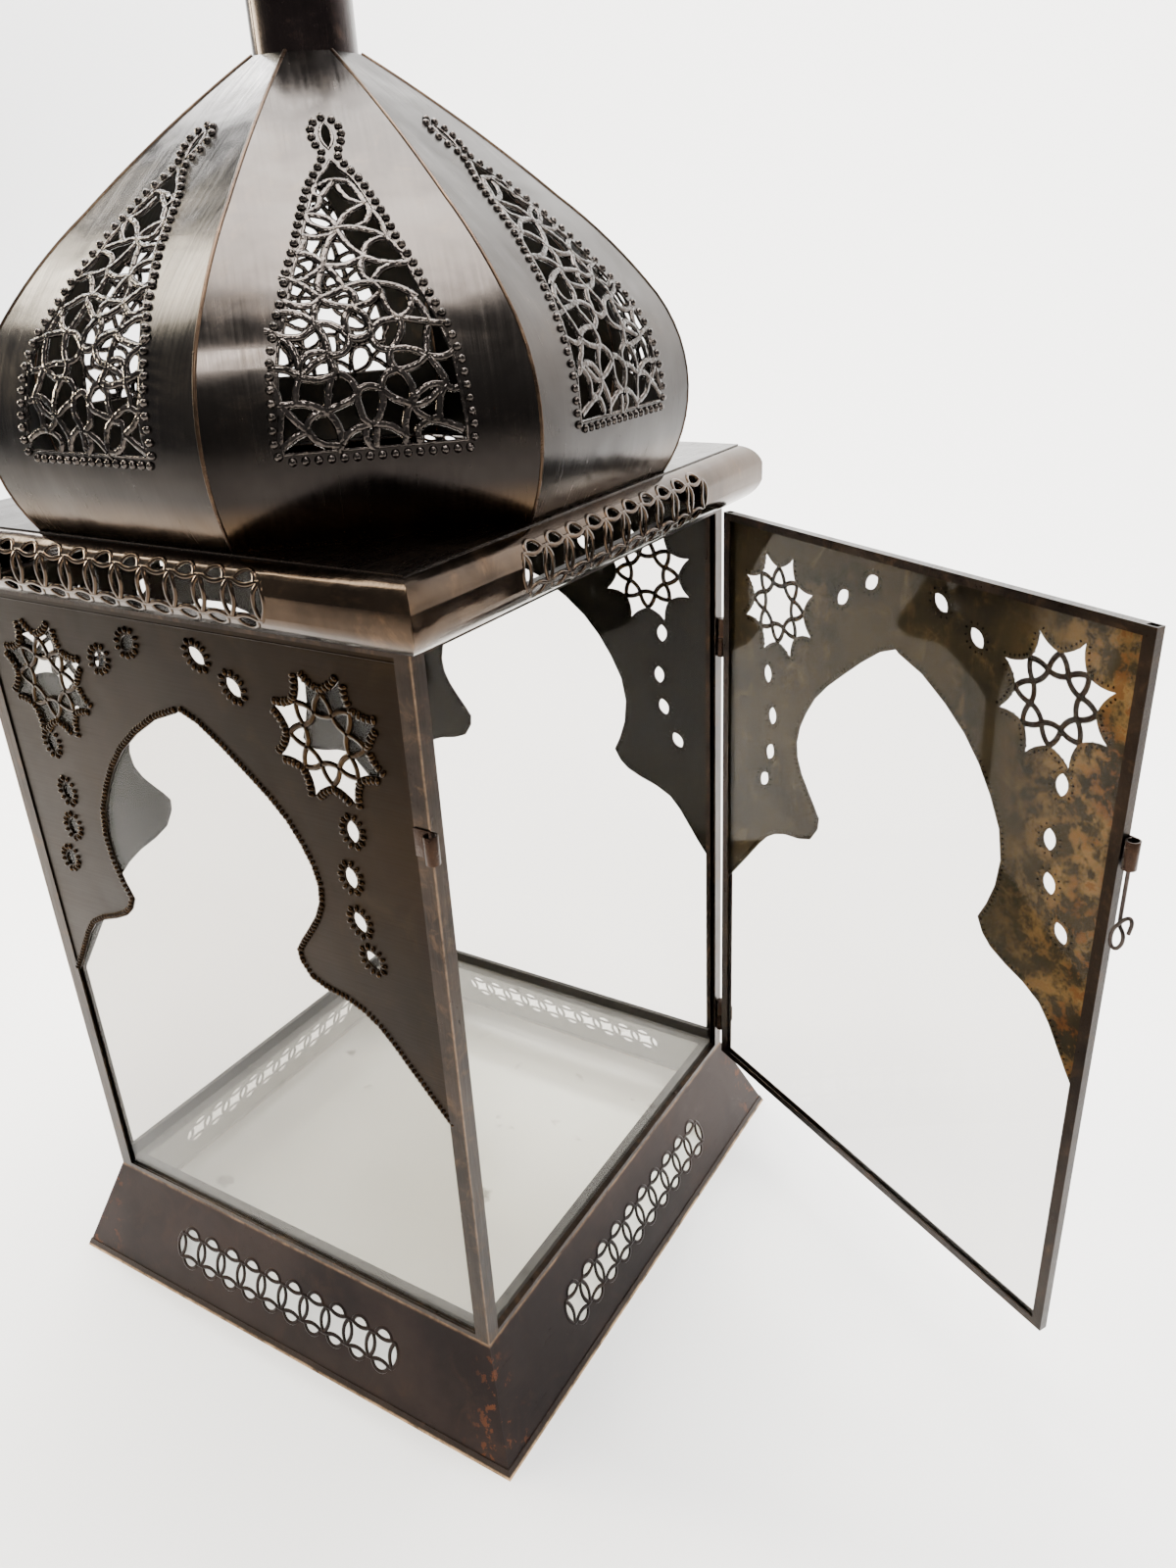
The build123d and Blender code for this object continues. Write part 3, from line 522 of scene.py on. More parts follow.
side_turns = {"front": -90, "right": 0, "back": 90, "left": 180}
skirt_metal = metal(
    "skirt_metal", (0.022, 0.0155, 0.0135), (0.010, 0.008, 0.008), (0.042, 0.023, 0.015),
    Clouds=9.0, Dark_share=0.8, Bright_share=0.35, Smooth=0.24, Rough=0.44, Dents=0.5, Brush_depth=0.02,
)
wear_and_shade(skirt_metal, (0.085, 0.030, 0.013), [("x", 0.138, 0.158), ("y", 0.138, 0.158)], share=0.7, patches=120.0, least=-6.5)
wear_and_shade(skirt_metal, (0.16, 0.10, 0.06), [("z", 0.0620, 0.0638)])
skirt_inside = metal(
    "skirt_inside", (0.055, 0.045, 0.032), (0.025, 0.021, 0.016), (0.10, 0.075, 0.04),
    Clouds=12.0, Smooth=0.5, Rough=0.7, metallic=0.6,
)
skirt_section = [(150 + 24.6 * 59 / 64, 5.0), (150.0, 64.0)]
skirt_slant = hypot(24.6, 64) * 59 / 64
skirt_pattern, skirt_opening = chain_bars(10, 17.6)
skirt_middle = skirt_slant - 34.3
for name, turn in side_turns.items():
    foot, head = skirt_section[0][0], skirt_section[1][0]
    edge = [(-foot, 0), (foot, 0), (head, skirt_slant), (-head, skirt_slant)]
    opening = [(x, y + skirt_middle) for x, y in skirt_opening]
    sheet_piece = flat_sheet(f"skirt_sheet_{name}", [edge, opening])
    wrap(sheet_piece, skirt_section, turn)
    give_thickness(sheet_piece, 0.8, skirt_metal, skirt_inside)
    bars = [([(x, y + skirt_middle) for x, y in run], closed) for run, closed in skirt_pattern]
    chain_piece = round_bars(f"skirt_chain_{name}", bars, 2.8, 1.5)
    wrap(chain_piece, [(reach - 0.3, z) for reach, z in skirt_section], turn)
    dress(sheet_piece, "lantern", "skirt")
    dress(chain_piece, "lantern", "skirt", skirt_metal)
    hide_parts(f"skirt_{name}")

# ---------------------------------------------------------------- Rails and corner posts
# Folded sheet channels that hold the glass: four shelves below, four heads above and four corner
# posts, soldered together. Their corners are rubbed to a coppery brown.
frame_metal = metal(
    "frame_metal", (0.028, 0.020, 0.015), (0.010, 0.008, 0.007), (0.10, 0.058, 0.03),
    Clouds=22.0, Dark_share=0.75, Bright_share=0.45, Smooth=0.22, Rough=0.45, Dents=0.4, Brushing=(300.0, 300.0, 30.0),
)
wear_and_shade(frame_metal, (0.20, 0.125, 0.075), [("x", 0.1488, 0.1499), ("y", 0.1488, 0.1499)], share=0.6)
for name in nodes:
    if name.startswith(("rail_", "post_")):
        nodes[name].material_slots[0].material = frame_metal


# ---------------------------------------------------------------- Floor glass
# A loose pane over the hollow skirt, dulled by a film of candle dust with darker spots.
def glass(name, tint, roughness, transmission, ior):
    """Sheet glass that lets light through to what stands behind it."""
    material = bpy.data.materials.new(name)
    material.use_nodes = True
    tree = material.node_tree
    shader = tree.nodes["Principled BSDF"]
    shader.inputs["Base Color"].default_value = (*tint, 1)
    shader.inputs["Roughness"].default_value = roughness
    shader.inputs["Transmission Weight"].default_value = transmission
    shader.inputs["IOR"].default_value = ior
    through = tree.nodes.new("ShaderNodeBsdfTransparent")
    through.inputs["Color"].default_value = (0.94, 0.95, 0.94, 1)
    rays = tree.nodes.new("ShaderNodeLightPath")
    either = tree.nodes.new("ShaderNodeMixShader")
    tree.links.new(rays.outputs["Is Shadow Ray"], either.inputs["Fac"])
    tree.links.new(shader.outputs[0], either.inputs[1])
    tree.links.new(through.outputs[0], either.inputs[2])
    tree.links.new(either.outputs[0], tree.nodes["Material Output"].inputs["Surface"])
    return material


dusty_glass = glass("dusty_glass", (0.9, 0.89, 0.85), 0.06, 0.88, 1.25)
tree = dusty_glass.node_tree
place = tree.nodes.new("ShaderNodeTexCoord")
film = add_node(tree, "ShaderNodeTexNoise", Scale=7.0, Detail=5.0, Roughness=0.6)
spots = add_node(tree, "ShaderNodeTexNoise", Scale=42.0, Detail=3.0, Roughness=0.5)
tree.links.new(place.outputs["Object"], film.inputs["Vector"])
tree.links.new(place.outputs["Object"], spots.inputs["Vector"])
film_colour = add_node(tree, "ShaderNodeMix", data_type="RGBA")
film_colour.inputs[6].default_value = (0.74, 0.725, 0.69, 1)
film_colour.inputs[7].default_value = (0.58, 0.56, 0.51, 1)
tree.links.new(film.outputs["Fac"], film_colour.inputs["Factor"])
spot_mask = add_node(tree, "ShaderNodeMapRange", interpolation_type="SMOOTHSTEP")
spot_mask.inputs["From Min"].default_value = 0.66
spot_mask.inputs["From Max"].default_value = 0.76
tree.links.new(spots.outputs["Fac"], spot_mask.inputs["Value"])
spotted = add_node(tree, "ShaderNodeMix", data_type="RGBA")
spotted.inputs[7].default_value = (0.30, 0.28, 0.25, 1)
tree.links.new(spot_mask.outputs[0], spotted.inputs["Factor"])
tree.links.new(film_colour.outputs[2], spotted.inputs[6])
tree.links.new(spotted.outputs[2], tree.nodes["Principled BSDF"].inputs["Base Color"])
nodes["floor_glass"].material_slots[0].material = dusty_glass

# ---------------------------------------------------------------- Glass panes
# Plain window glass, with faint smears that only show in the reflections.
clear_glass = glass("clear_glass", (0.72, 0.705, 0.685), 0.02, 1.0, 1.16)
tree = clear_glass.node_tree
place = tree.nodes.new("ShaderNodeTexCoord")
smears = add_node(tree, "ShaderNodeTexNoise", Scale=16.0, Detail=6.0, Roughness=0.7)
tree.links.new(place.outputs["Object"], smears.inputs["Vector"])
smear_range = add_node(tree, "ShaderNodeMapRange")
smear_range.inputs["From Min"].default_value = 0.55
smear_range.inputs["From Max"].default_value = 0.8
smear_range.inputs["To Min"].default_value = 0.01
smear_range.inputs["To Max"].default_value = 0.12
tree.links.new(smears.outputs["Fac"], smear_range.inputs["Value"])
tree.links.new(smear_range.outputs[0], tree.nodes["Principled BSDF"].inputs["Roughness"])
for name in ("pane_front", "pane_left", "pane_back", "door_pane"):
    nodes[name].material_slots[0].material = clear_glass

# Retaining strips: narrow dark folds that press the feet of the two far panes into their rails.
strip_metal = metal(
    "strip_metal", (0.012, 0.0095, 0.007), (0.006, 0.005, 0.004), (0.035, 0.022, 0.012), metallic=0.4,
    Clouds=30.0, Smooth=0.55, Rough=0.8,
)
strip_section = [(143.4, 69.2), (143.4, 76.4), (145.9, 76.4)]
for name in ("left", "back"):
    strip = flat_sheet(f"pane_strip_{name}", [[(-143, 0), (143, 0), (143, 9.7), (-143, 9.7)]])
    wrap(strip, strip_section, side_turns[name], levels=True)
    give_thickness(strip, 0.6, strip_metal)
    dress(strip, "lantern", "frame")

# ---------------------------------------------------------------- Arch sheets
# Sheets in front of the glass, cut to a pointed arch with a cusp on each side. A star rosette and
# six leaves are pierced on each side, and every edge is ringed with beads punched from behind.
panel_metal = metal(
    "panel_metal", (0.0088, 0.0042, 0.0008), (0.0048, 0.0025, 0.0007), (0.022, 0.0115, 0.0024),
    Clouds=8.0, Dark_share=0.8, Bright_share=0.3, Smooth=0.26, Rough=0.44, Dents=0.35, Brush_depth=0.03,
    Brushing=(25.0, 25.0, 700.0),
)
bead_metal = metal(
    "bead_metal", (0.019, 0.0105, 0.0045), (0.007, 0.004, 0.002), (0.085, 0.047, 0.019),
    Clouds=60.0, Dark_share=0.6, Bright_share=0.5, Smooth=0.12, Rough=0.3, Dents=0.0, Brush_depth=0.0, Hammering=0.2,
)
panel_inside = metal(
    "panel_inside", (0.0120, 0.0095, 0.0045), (0.005, 0.0045, 0.003), (0.027, 0.020, 0.008), metallic=0.8, flat=True,
    Clouds=14.0, Dark_share=0.9, Bright_share=0.5, Smooth=0.38, Rough=0.6, Dents=0.3, Brush_depth=0.02,
)
arch_left_edge = [
    (-2, 347), (-18.9, 340.8), (-36, 330), (-49.8, 318.7), (-60.5, 306.5), (-69.6, 292.5), (-77, 277.5),
    (-80, 261.5), (-78.5, 246.5), (-74.5, 234.1), (-70, 224.5), (-74, 217), (-80, 211.5), (-90, 206.8), (-102, 202.5),
    (-112.7, 196.5), (-120, 188), (-126, 178.5), (-133, 167.5), (-141, 156),
]
arch_right_edge = [
    (0, 348.5), (11.4, 344), (24.8, 334.6), (38.5, 323.5), (51, 313), (61, 302.5), (68, 291.5), (73, 281),
    (75.3, 270.5), (74.2, 261), (70.1, 252), (63.7, 243), (57.5, 235), (53.3, 228.5), (54, 221.5), (60, 212.5),
    (70, 208.6), (83.3, 206), (93, 202), (101, 196.5), (109, 188), (122, 172), (141, 149),
]
leaf_places = (
    (20.5, 379.5, 52), (41.5, 367, 42), (103.3, 306, 0), (98, 280.5, 6), (99.5, 256.5, 22), (104.5, 236.5, 34),
    (-27.7, 379.6, -50), (-51.7, 368, -44), (-108.5, 313, 0), (-106, 284.2, -4), (-109, 262, -18), (-119, 239.5, -30),
)
star_places = ((95.5, 350), (-98.5, 351))


def star_points(x, y):
    """The bars of a star rosette, and the outline of its opening, about a place."""
    around = lambda radius, turn: (x + radius * cos(radians(turn)), y + radius * sin(radians(turn)))
    bars, outline = [], []
    for ray in range(8):
        turn = 45 * ray
        knot, next_knot, valley = around(13.6, turn - 22.5), around(13.6, turn + 22.5), around(22.0, turn)
        bars.append((arc(knot, around(11.4, turn), next_knot, 5) + [next_knot], False))
        for start, side in ((knot, -1), (next_knot, 1)):
            bars.append((arc(start, around(17.6, turn + side * 13.2), valley, 5) + [valley], False))
        outline += arc(valley, around(25.8, turn + 15.5), around(32.4, turn + 22.5), 4)
        outline += arc(around(32.4, turn + 22.5), around(25.8, turn + 29.5), around(22.0, turn + 45), 4)
    return bars, outline


def arch_pattern(half_width, foot, head, centre=0.0, base=0.0, mirrored=1):
    """Sheet outlines, bars and bead places of an arch sheet, above the box's floor."""
    place = lambda points: [(centre + mirrored * px, base + py) for px, py in points]
    left, right = place(arch_left_edge), place(arch_right_edge)
    low, high = centre - half_width, centre + half_width
    near, far = (right, left) if mirrored < 0 else (left, right)
    edge = [(low, head), (high, head), (high, foot), (far[-1][0], foot)]
    edge += far[::-1] + near + [(near[-1][0], foot), (low, foot)]
    outlines, bars, beads = [edge], [], []
    for x, y in place(star_places):
        star_bars, opening = star_points(x, y)
        bars += star_bars
        outlines.append(opening)
        beads += [
            (bx, by, turn, 4.6 if n % 3 else 5.2, 2.8)
            for n, (bx, by, turn, _, _) in enumerate(bead_row(opening[::-1], 3.05, 2.2, 4.6, 2.8, closed=True))
        ]
    for (x, y), (_, _, tilt) in zip(place([leaf[:2] for leaf in leaf_places]), leaf_places):
        outlines.append(lens(x, y, 11.5, 7.2, mirrored * tilt))
        ring = lens(x, y, 13.5, 9.2, mirrored * tilt, steps=10)
        beads += bead_row(ring, 2.9, 1.7, 4.0, 2.6, closed=True)
    beads += bead_row(far, 2.75, 2.0, 3.8, 2.4) + bead_row(near[::-1], 2.75, 2.0, 3.8, 2.4)
    return outlines, bars, beads


for name in ("front", "left", "back"):
    outlines, bars, beads = arch_pattern(145.2, 0.9, 399.1)
    section = [(149.1, 64.0), (149.1, 464.0)]
    sheet_piece = flat_sheet(f"arch_sheet_{name}", outlines)
    bar_piece = round_bars(f"arch_stars_{name}", bars, 3.1, 1.5)
    bead_piece = punched_beads(f"arch_beads_{name}", beads, 1.5)
    wrap(sheet_piece, section, side_turns[name])
    give_thickness(sheet_piece, 0.8, panel_metal, panel_inside)
    wrap(bar_piece, [(148.8, z) for _, z in section], side_turns[name])
    wrap(bead_piece, section, side_turns[name])
    dress(sheet_piece, "lantern", "panel")
    dress(bar_piece, "lantern", "panel", bead_metal)
    dress(bead_piece, "lantern", "panel", bead_metal)
    pits = punched_beads(f"arch_pits_{name}", [(x, y, turn, 1.5, 1.1) for x, y, turn, _, _ in beads], -0.35)
    pits.data.flip_normals()
    wrap(pits, [(148.3, z) for _, z in section], side_turns[name])
    dress(pits, "lantern", "panel", bead_metal)
    scribed = round_bars(f"arch_line_{name}", [([(-143, 392.5), (0, 392.2), (143, 392.5)], False)], 0.7, 0.4)
    wrap(scribed, section, side_turns[name])
    dress(scribed, "lantern", "panel", panel_metal)
    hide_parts(f"arch_{name}")

# ---------------------------------------------------------------- Cornice
# Four rolled sheets, mitred at the corners, with a flange under them and one under the roof
# plate. The roll is polished brighter than the box and pierced with the same chain.
cornice_metal = metal(
    "cornice_metal", (0.060, 0.040, 0.026), (0.020, 0.014, 0.010), (0.15, 0.086, 0.045),
    Clouds=11.0, Dark_share=0.8, Bright_share=0.4, Smooth=0.08, Rough=0.26, Dents=1.0, Brush_depth=0.01, Hammering=0.02,
)
roll_section = [(144.0, 464.0)]
roll_section += arc((151, 464), (164, 468), (168, 475), 7) + arc((168, 475), (168.01, 480), (168, 485), 2)
roll_section += arc((168, 485), (164, 492), (157, 496), 7) + [(157.0, 496.0), (150.0, 496.0)]
roll_lengths = [0.0]
for (ra, za), (rb, zb) in zip(roll_section, roll_section[1:]):
    roll_lengths.append(roll_lengths[-1] + hypot(rb - ra, zb - za))
roll_middle = roll_lengths[8] + 6.5
for name, turn in side_turns.items():
    mitre = [(reach, length) for (reach, _), length in zip(roll_section, roll_lengths)]
    edge = mitre + [(-reach, length) for reach, length in reversed(mitre)]
    opening = [(x, y + roll_middle) for x, y in skirt_opening]
    sheet_piece = flat_sheet(f"cornice_roll_{name}", [edge, opening])
    wrap(sheet_piece, roll_section, turn, levels=True)
    give_thickness(sheet_piece, 0.8, cornice_metal)
    bars = [([(x, y + roll_middle) for x, y in run], closed) for run, closed in skirt_pattern]
    chain_piece = round_bars(f"cornice_chain_{name}", bars, 2.7, 1.6)
    wrap(chain_piece, [(reach - 0.3, z) for reach, z in roll_section], turn)
    dress(sheet_piece, "lantern", "cornice")
    dress(chain_piece, "lantern", "cornice", cornice_metal)
    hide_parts(f"cornice_{name}")

# ---------------------------------------------------------------- Roof plate
# A flat sheet that closes the roll's top and carries the dome.
plate_metal = metal(
    "plate_metal", (0.017, 0.012, 0.009), (0.008, 0.006, 0.005), (0.042, 0.026, 0.016),
    Clouds=10.0, Dark_share=0.8, Bright_share=0.4, Smooth=0.16, Rough=0.4, Dents=0.9, Brush_depth=0.02,
)
nodes["roof_plate"].material_slots[0].material = plate_metal

# ---------------------------------------------------------------- Dome
# Eight gores of sheet, each bent one way over the belly and hollowed towards the neck, soldered
# edge to edge. Each has a pierced field of interlaced circles with a border of large beads.
dome_metal = metal(
    "dome_metal", (0.043, 0.037, 0.033), (0.019, 0.016, 0.014), (0.074, 0.056, 0.041), flat=True,
    Clouds=9.0, Dark_share=0.7, Bright_share=0.3, Smooth=0.12, Rough=0.32, Dents=1.0, Brush_depth=0.02,
    Brushing=(600.0, 14.0, 1.0),
)
# Painted shade: the lower belly of each gore, which faces down, is laid darker up to about 82 mm along the sheet.
wear_and_shade(dome_metal, (0.0120, 0.0100, 0.0090), [("v", 0.082, 0.036)], share=0.9, patches=14.0, least=0.65)
wear_and_shade(dome_metal, (0.075, 0.046, 0.024), [("v", 0.026, 0.006)], share=0.85, patches=14.0, least=0.5)
# Painted shade: the inside face of the gores is laid darker than the outside, standing in for the shade inside the
# hollow dome seen through the pierced fields.
dome_inside = metal(
    "dome_inside", (0.014, 0.012, 0.009), (0.005, 0.0045, 0.004), (0.05, 0.032, 0.016), metallic=0.9,
    Clouds=14.0, Smooth=0.4, Rough=0.6, flat=True,
)
lattice_metal = metal(
    "lattice_metal", (0.055, 0.046, 0.041), (0.016, 0.014, 0.012), (0.15, 0.12, 0.095),
    Clouds=70.0, Dark_share=0.7, Bright_share=0.5, Smooth=0.07, Rough=0.24, Dents=0.3, Brush_depth=0.0, Hammering=0.5,
)
gore_section = arc((155, 496.8), (167.8, 540.8), (154, 583.8), 12)
gore_section += arc((154, 583.8), (133.4, 608.3), (110, 629.8), 8)
gore_section += arc((110, 629.8), (69, 663.8), (26, 694.8), 10) + [(26.0, 694.8)]
gore_lengths = [0.0]
for (ra, za), (rb, zb) in zip(gore_section, gore_section[1:]):
    gore_lengths.append(gore_lengths[-1] + hypot(rb - ra, zb - za))


def gore_length(height):
    """How far up the bent gore a height is, measured along the sheet."""
    for (_, za), (_, zb), la, lb in zip(gore_section, gore_section[1:], gore_lengths, gore_lengths[1:]):
        if height <= zb:
            return la + (lb - la) * (height - za) / (zb - za)
    return gore_lengths[-1]


bead_line = (
    (39.0, 39.5), (40.8, 44.5), (40.8, 50), (39.7, 61), (38.5, 75), (36.5, 84), (33.4, 95), (30.2, 104), (28.3, 110), (26.3, 118),
    (24.6, 123), (21.0, 133), (19.3, 140), (16.6, 150), (14.2, 158), (12.0, 165), (9.8, 170), (6.8, 175), (4.6, 180),
    (2.7, 185), (4.6, 189), (5.7, 192.5), (6.6, 197.5), (6.2, 203), (4.0, 207.5),
)
border = list(bead_line) + [(0, 210)] + [(-x, y) for x, y in reversed(bead_line)]
opening_right = [(37.6, 42.6)] + [(x - 2.9, y) for x, y in bead_line[2:17]] + [(3.2, 175), (0.5, 180.6)]
field = opening_right + [(-x, y) for x, y in reversed(opening_right)]

# The pierced circles have gone uneven under the chisel. Each bar is an arc on the flat gore,
# given by its start, a place on its way and its end, in millimetres.
lattice_bars = (
    (-37.7, 44.5, -32.8, 48.5, -26.9, 51), (-26.9, 51, -22.8, 46.5, -13.7, 44.5),
    (-13.2, 45, -8.9, 49.5, -1.5, 51.5), (-2.9, 50, -3.3, 46, -0.6, 42), (1.1, 50, 0.9, 46, 0, 42),
    (-0.5, 51.5, 7.1, 50, 12.3, 46), (12.3, 46, 11.9, 44.5, 12.4, 42.5), (12.3, 46, 12.5, 52, 16.3, 58.5),
    (16.3, 58.5, 19.9, 54, 23.5, 51.5), (23.5, 51.5, 29.1, 50, 36.2, 46.5), (23, 51.5, 17.7, 48.5, 17.9, 42.5),
    (-13.7, 44.5, -14.6, 42.8, -15.6, 42), (-26.9, 51, -32.1, 56, -35.8, 60.5),
    (-35.8, 60.5, -37.1, 54, -38.3, 47), (-26.9, 51, -25.1, 56, -18.7, 57.5),
    (-13.7, 45.5, -14.5, 52, -18.2, 57.5), (-18.2, 57.5, -23.3, 60.5, -29.9, 62),
    (-29.9, 62, -32.8, 61.2, -36.9, 62), (-18.2, 58.5, -12.3, 60, -5.4, 63.5),
    (-5.4, 63.5, -5.1, 56, -1.5, 51.5), (-0.5, 51.5, 3.3, 56.5, 4.5, 65), (4.5, 65, 9.7, 61, 16.3, 58.5),
    (16.3, 58.5, 20.6, 63.5, 30, 65), (16.8, 58.2, 24.7, 60.5, 28.5, 64), (27, 52, 27.3, 58, 31, 64.5),
    (31, 64.5, 33.6, 63.5, 35.5, 64), (23.5, 51.5, 25, 52.5, 27, 52), (-5.4, 63.5, -1.1, 67, 4.5, 65),
    (-5.4, 63.5, -6.7, 69, -11.3, 72), (-18.2, 58.5, -17, 65, -14.7, 71), (-29.9, 62, -29.1, 67, -27.3, 72),
    (-36.9, 62, -37.1, 67, -39.3, 72), (4.5, 65, 6.3, 70, 12.2, 72), (16.2, 59, 16.4, 67, 12.2, 72),
    (31, 65, 28.8, 71, 24.5, 77), (-27.3, 72, -20.7, 70.5, -12.8, 72), (-27.8, 73, -31.9, 75, -38.9, 76),
    (12.2, 72, 18.2, 73, 24.5, 76.5), (-27.3, 72.5, -24.6, 79, -14.6, 80), (-25.8, 73, -19, 77.5, -14.6, 79.5),
    (-12.3, 72, -13.4, 76, -14.1, 80), (12.2, 72, 9.6, 76, 10.7, 80.5), (10.7, 80.5, 17.9, 80, 24, 77.5),
    (25, 77, 30.1, 76, 36, 78), (-27.3, 73, -27.1, 81, -32.4, 88), (-14.1, 80, -15.3, 86, -18.1, 93),
    (-14.1, 80, -8.6, 80.5, -5.4, 86.5), (10.7, 80.5, 5.8, 82.5, 3.4, 88), (10.9, 81, 15.2, 86, 15.9, 93),
    (24.5, 77.5, 25.3, 83, 27.5, 90), (-32.4, 88.5, -24.4, 88, -18.1, 92.5),
    (-32.4, 88.5, -34.5, 90.5, -37.6, 91.5), (-18.1, 93.3, -9.6, 91.5, -5.9, 87.5),
    (-5.9, 87.5, -1.3, 85.8, 3.4, 88), (3.4, 88, 8.4, 92.5, 15.9, 93.5), (15.9, 93.5, 22.4, 92.5, 35.5, 90),
    (-18.1, 93.3, -23.8, 98, -32.4, 99.5), (-18.1, 93.3, -17.9, 99, -14.6, 104.5),
    (3.4, 88, 2.3, 95, -2.4, 100), (-2.4, 100, -7.9, 101, -14.6, 104.5), (15.9, 93.5, 11.6, 99, 10.3, 107),
    (15.8, 94, 21.7, 98, 21.5, 103.5), (27.5, 90.5, 26.2, 97, 22.5, 103), (-5.9, 88, -5.7, 94, -2.9, 99.5),
    (-14.6, 104.5, -22, 101.5, -29.1, 104.5), (-2.4, 100, -0.6, 104, -4.7, 108.5),
    (-2.4, 100, 4, 101.5, 9.4, 105), (-29.5, 116, -21.4, 112, -14.6, 104.5),
    (-14.6, 104.5, -13.9, 112, -11.2, 120), (-4.7, 108.5, 0.7, 110.5, 7.7, 110.5),
    (-4.7, 108.5, -6.5, 114, -10.7, 120), (7.7, 110.5, 9.8, 108.5, 10.3, 107),
    (7.7, 110.5, 16.8, 108.5, 24.5, 102.5), (7.7, 110.5, 4, 116, 6.2, 123.5),
    (7.7, 110.5, 12.9, 117.5, 21.3, 119.8), (-11.2, 120.3, -15.5, 116, -22.9, 113.5),
    (-11.2, 120.3, -2.7, 120, 6.2, 123.5), (6.2, 123.5, 13.3, 120.5, 23.3, 119.5),
    (-14.6, 104.5, -9.2, 106.5, -4.7, 108.5), (-11.2, 120.3, -14.9, 125.5, -21, 126.5),
    (-11.2, 120.3, -9, 129, -3.5, 137.5), (6.2, 123.5, 1.5, 129, -2.8, 139), (6.2, 123.5, 9, 131, 16.5, 133.3),
    (-3.5, 138, -10, 135, -18, 136), (-2.8, 140, 7, 139, 16.5, 133.3), (-21, 126.5, -18, 131, -17, 136),
    (16.5, 133.3, 19, 129, 22.6, 124), (-2.8, 140, -9, 140, -14.5, 148), (-2.8, 140, -8, 146.5, -14.5, 148),
    (-2.8, 140.5, 2.5, 147.5, 11, 153.5), (4.5, 139.5, 11, 145.5, 11.5, 153),
    (16.5, 133.3, 16, 141, 13.5, 148.5), (11, 153.5, 4, 157.5, 1, 164.5), (-14.5, 148.5, -9, 153.5, -8, 158.5),
    (-8, 158.5, -5, 161.5, -1, 166.5), (-8, 158.5, -10, 161, -8, 165.5), (11, 153.8, 9, 159.5, 5.5, 166.5),
    (-7.5, 164.5, -2, 167.6, 5.5, 167.5),
)


def lattice_runs(index):
    """The bars of a gore. Every second gore is laid out the other way round, and each is uneven in its own way."""
    runs, side, unevenness = [], (1 if index % 2 else -1), (0.7 if index == 1 else 2.2)
    for x1, y1, x2, y2, x3, y3 in lattice_bars:
        run = []
        for x, y in arc((x1, y1), (x2, y2), (x3, y3), 7) + [(x3, y3)]:
            shift = noise.noise_vector(Vector((x / 11, y / 11, index * 7.3)))
            wobble = noise.noise_vector(Vector((x / 3, y / 3, index * 3.1)))
            run.append((side * x + unevenness * shift.x + 0.45 * wobble.x, y + unevenness * shift.y + 0.45 * wobble.y))
        runs.append((run, False))
    return runs


tip_hole = lens(0, 197, 18.6, 5.2)
for index in range(8):
    turn = -90 + 45 * index
    edge = [(reach * tan(pi / 8), length) for (reach, _), length in zip(gore_section, gore_lengths)]
    edge += [(-x, y) for x, y in reversed(edge)]
    gore = flat_sheet(f"gore_{index + 1}", [edge, field, tip_hole])
    wrap(gore, gore_section, turn, levels=True)
    give_thickness(gore, 0.8, dome_metal, dome_inside)
    lattice = round_bars(f"gore_lattice_{index + 1}", lattice_runs(index), 3.5, 1.9)
    rim = round_bars(f"gore_rim_{index + 1}", [(field, True), (tip_hole, True)], 1.8, 1.4)
    beads = bead_row(border[::-1], 5.2, 0, 4.1, 3.9, closed=True)
    bead_piece = punched_beads(f"gore_beads_{index + 1}", beads, 1.9)
    for piece in (lattice, rim):
        wrap(piece, [(reach - 0.3, z) for reach, z in gore_section], turn)
        dress(piece, "lantern", "dome", lattice_metal)
    wrap(bead_piece, gore_section, turn)
    dress(gore, "lantern", "dome")
    dress(bead_piece, "lantern", "dome", lattice_metal)
    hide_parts(f"dome_gore_{index + 1}")

# Solder seams: the raised coppery line that closes each edge between two gores.
seam_metal = metal(
    "seam_metal", (0.052, 0.033, 0.021), (0.020, 0.013, 0.010), (0.12, 0.074, 0.045),
    Clouds=40.0, Dark_share=0.7, Bright_share=0.5, Smooth=0.2, Rough=0.42, Dents=0.2, Brush_depth=0.0,
)
for index in range(8):
    spread = radians(-90 + 45 * index + 22.5)
    line = bpy.data.curves.new(f"dome_seam_{index + 1}", "CURVE")
    line.dimensions = "3D"
    line.bevel_depth = 0.0011
    line.bevel_resolution = 1
    spline = line.splines.new("POLY")
    spline.points.add(len(gore_section) - 1)
    for point, (reach, z) in zip(spline.points, gore_section):
        corner = (reach - 0.6) / cos(pi / 8)
        point.co = (corner * cos(spread) / 1000, corner * sin(spread) / 1000, z / 1000, 1)
    seam = bpy.data.objects.new(f"dome_seam_{index + 1}", line)
    bpy.context.collection.objects.link(seam)
    bpy.ops.object.select_all(action="DESELECT")
    seam.select_set(True)
    bpy.context.view_layer.objects.active = seam
    bpy.ops.object.convert(target="MESH")
    bpy.ops.object.shade_smooth()
    dress(bpy.context.object, "lantern", "dome", seam_metal)

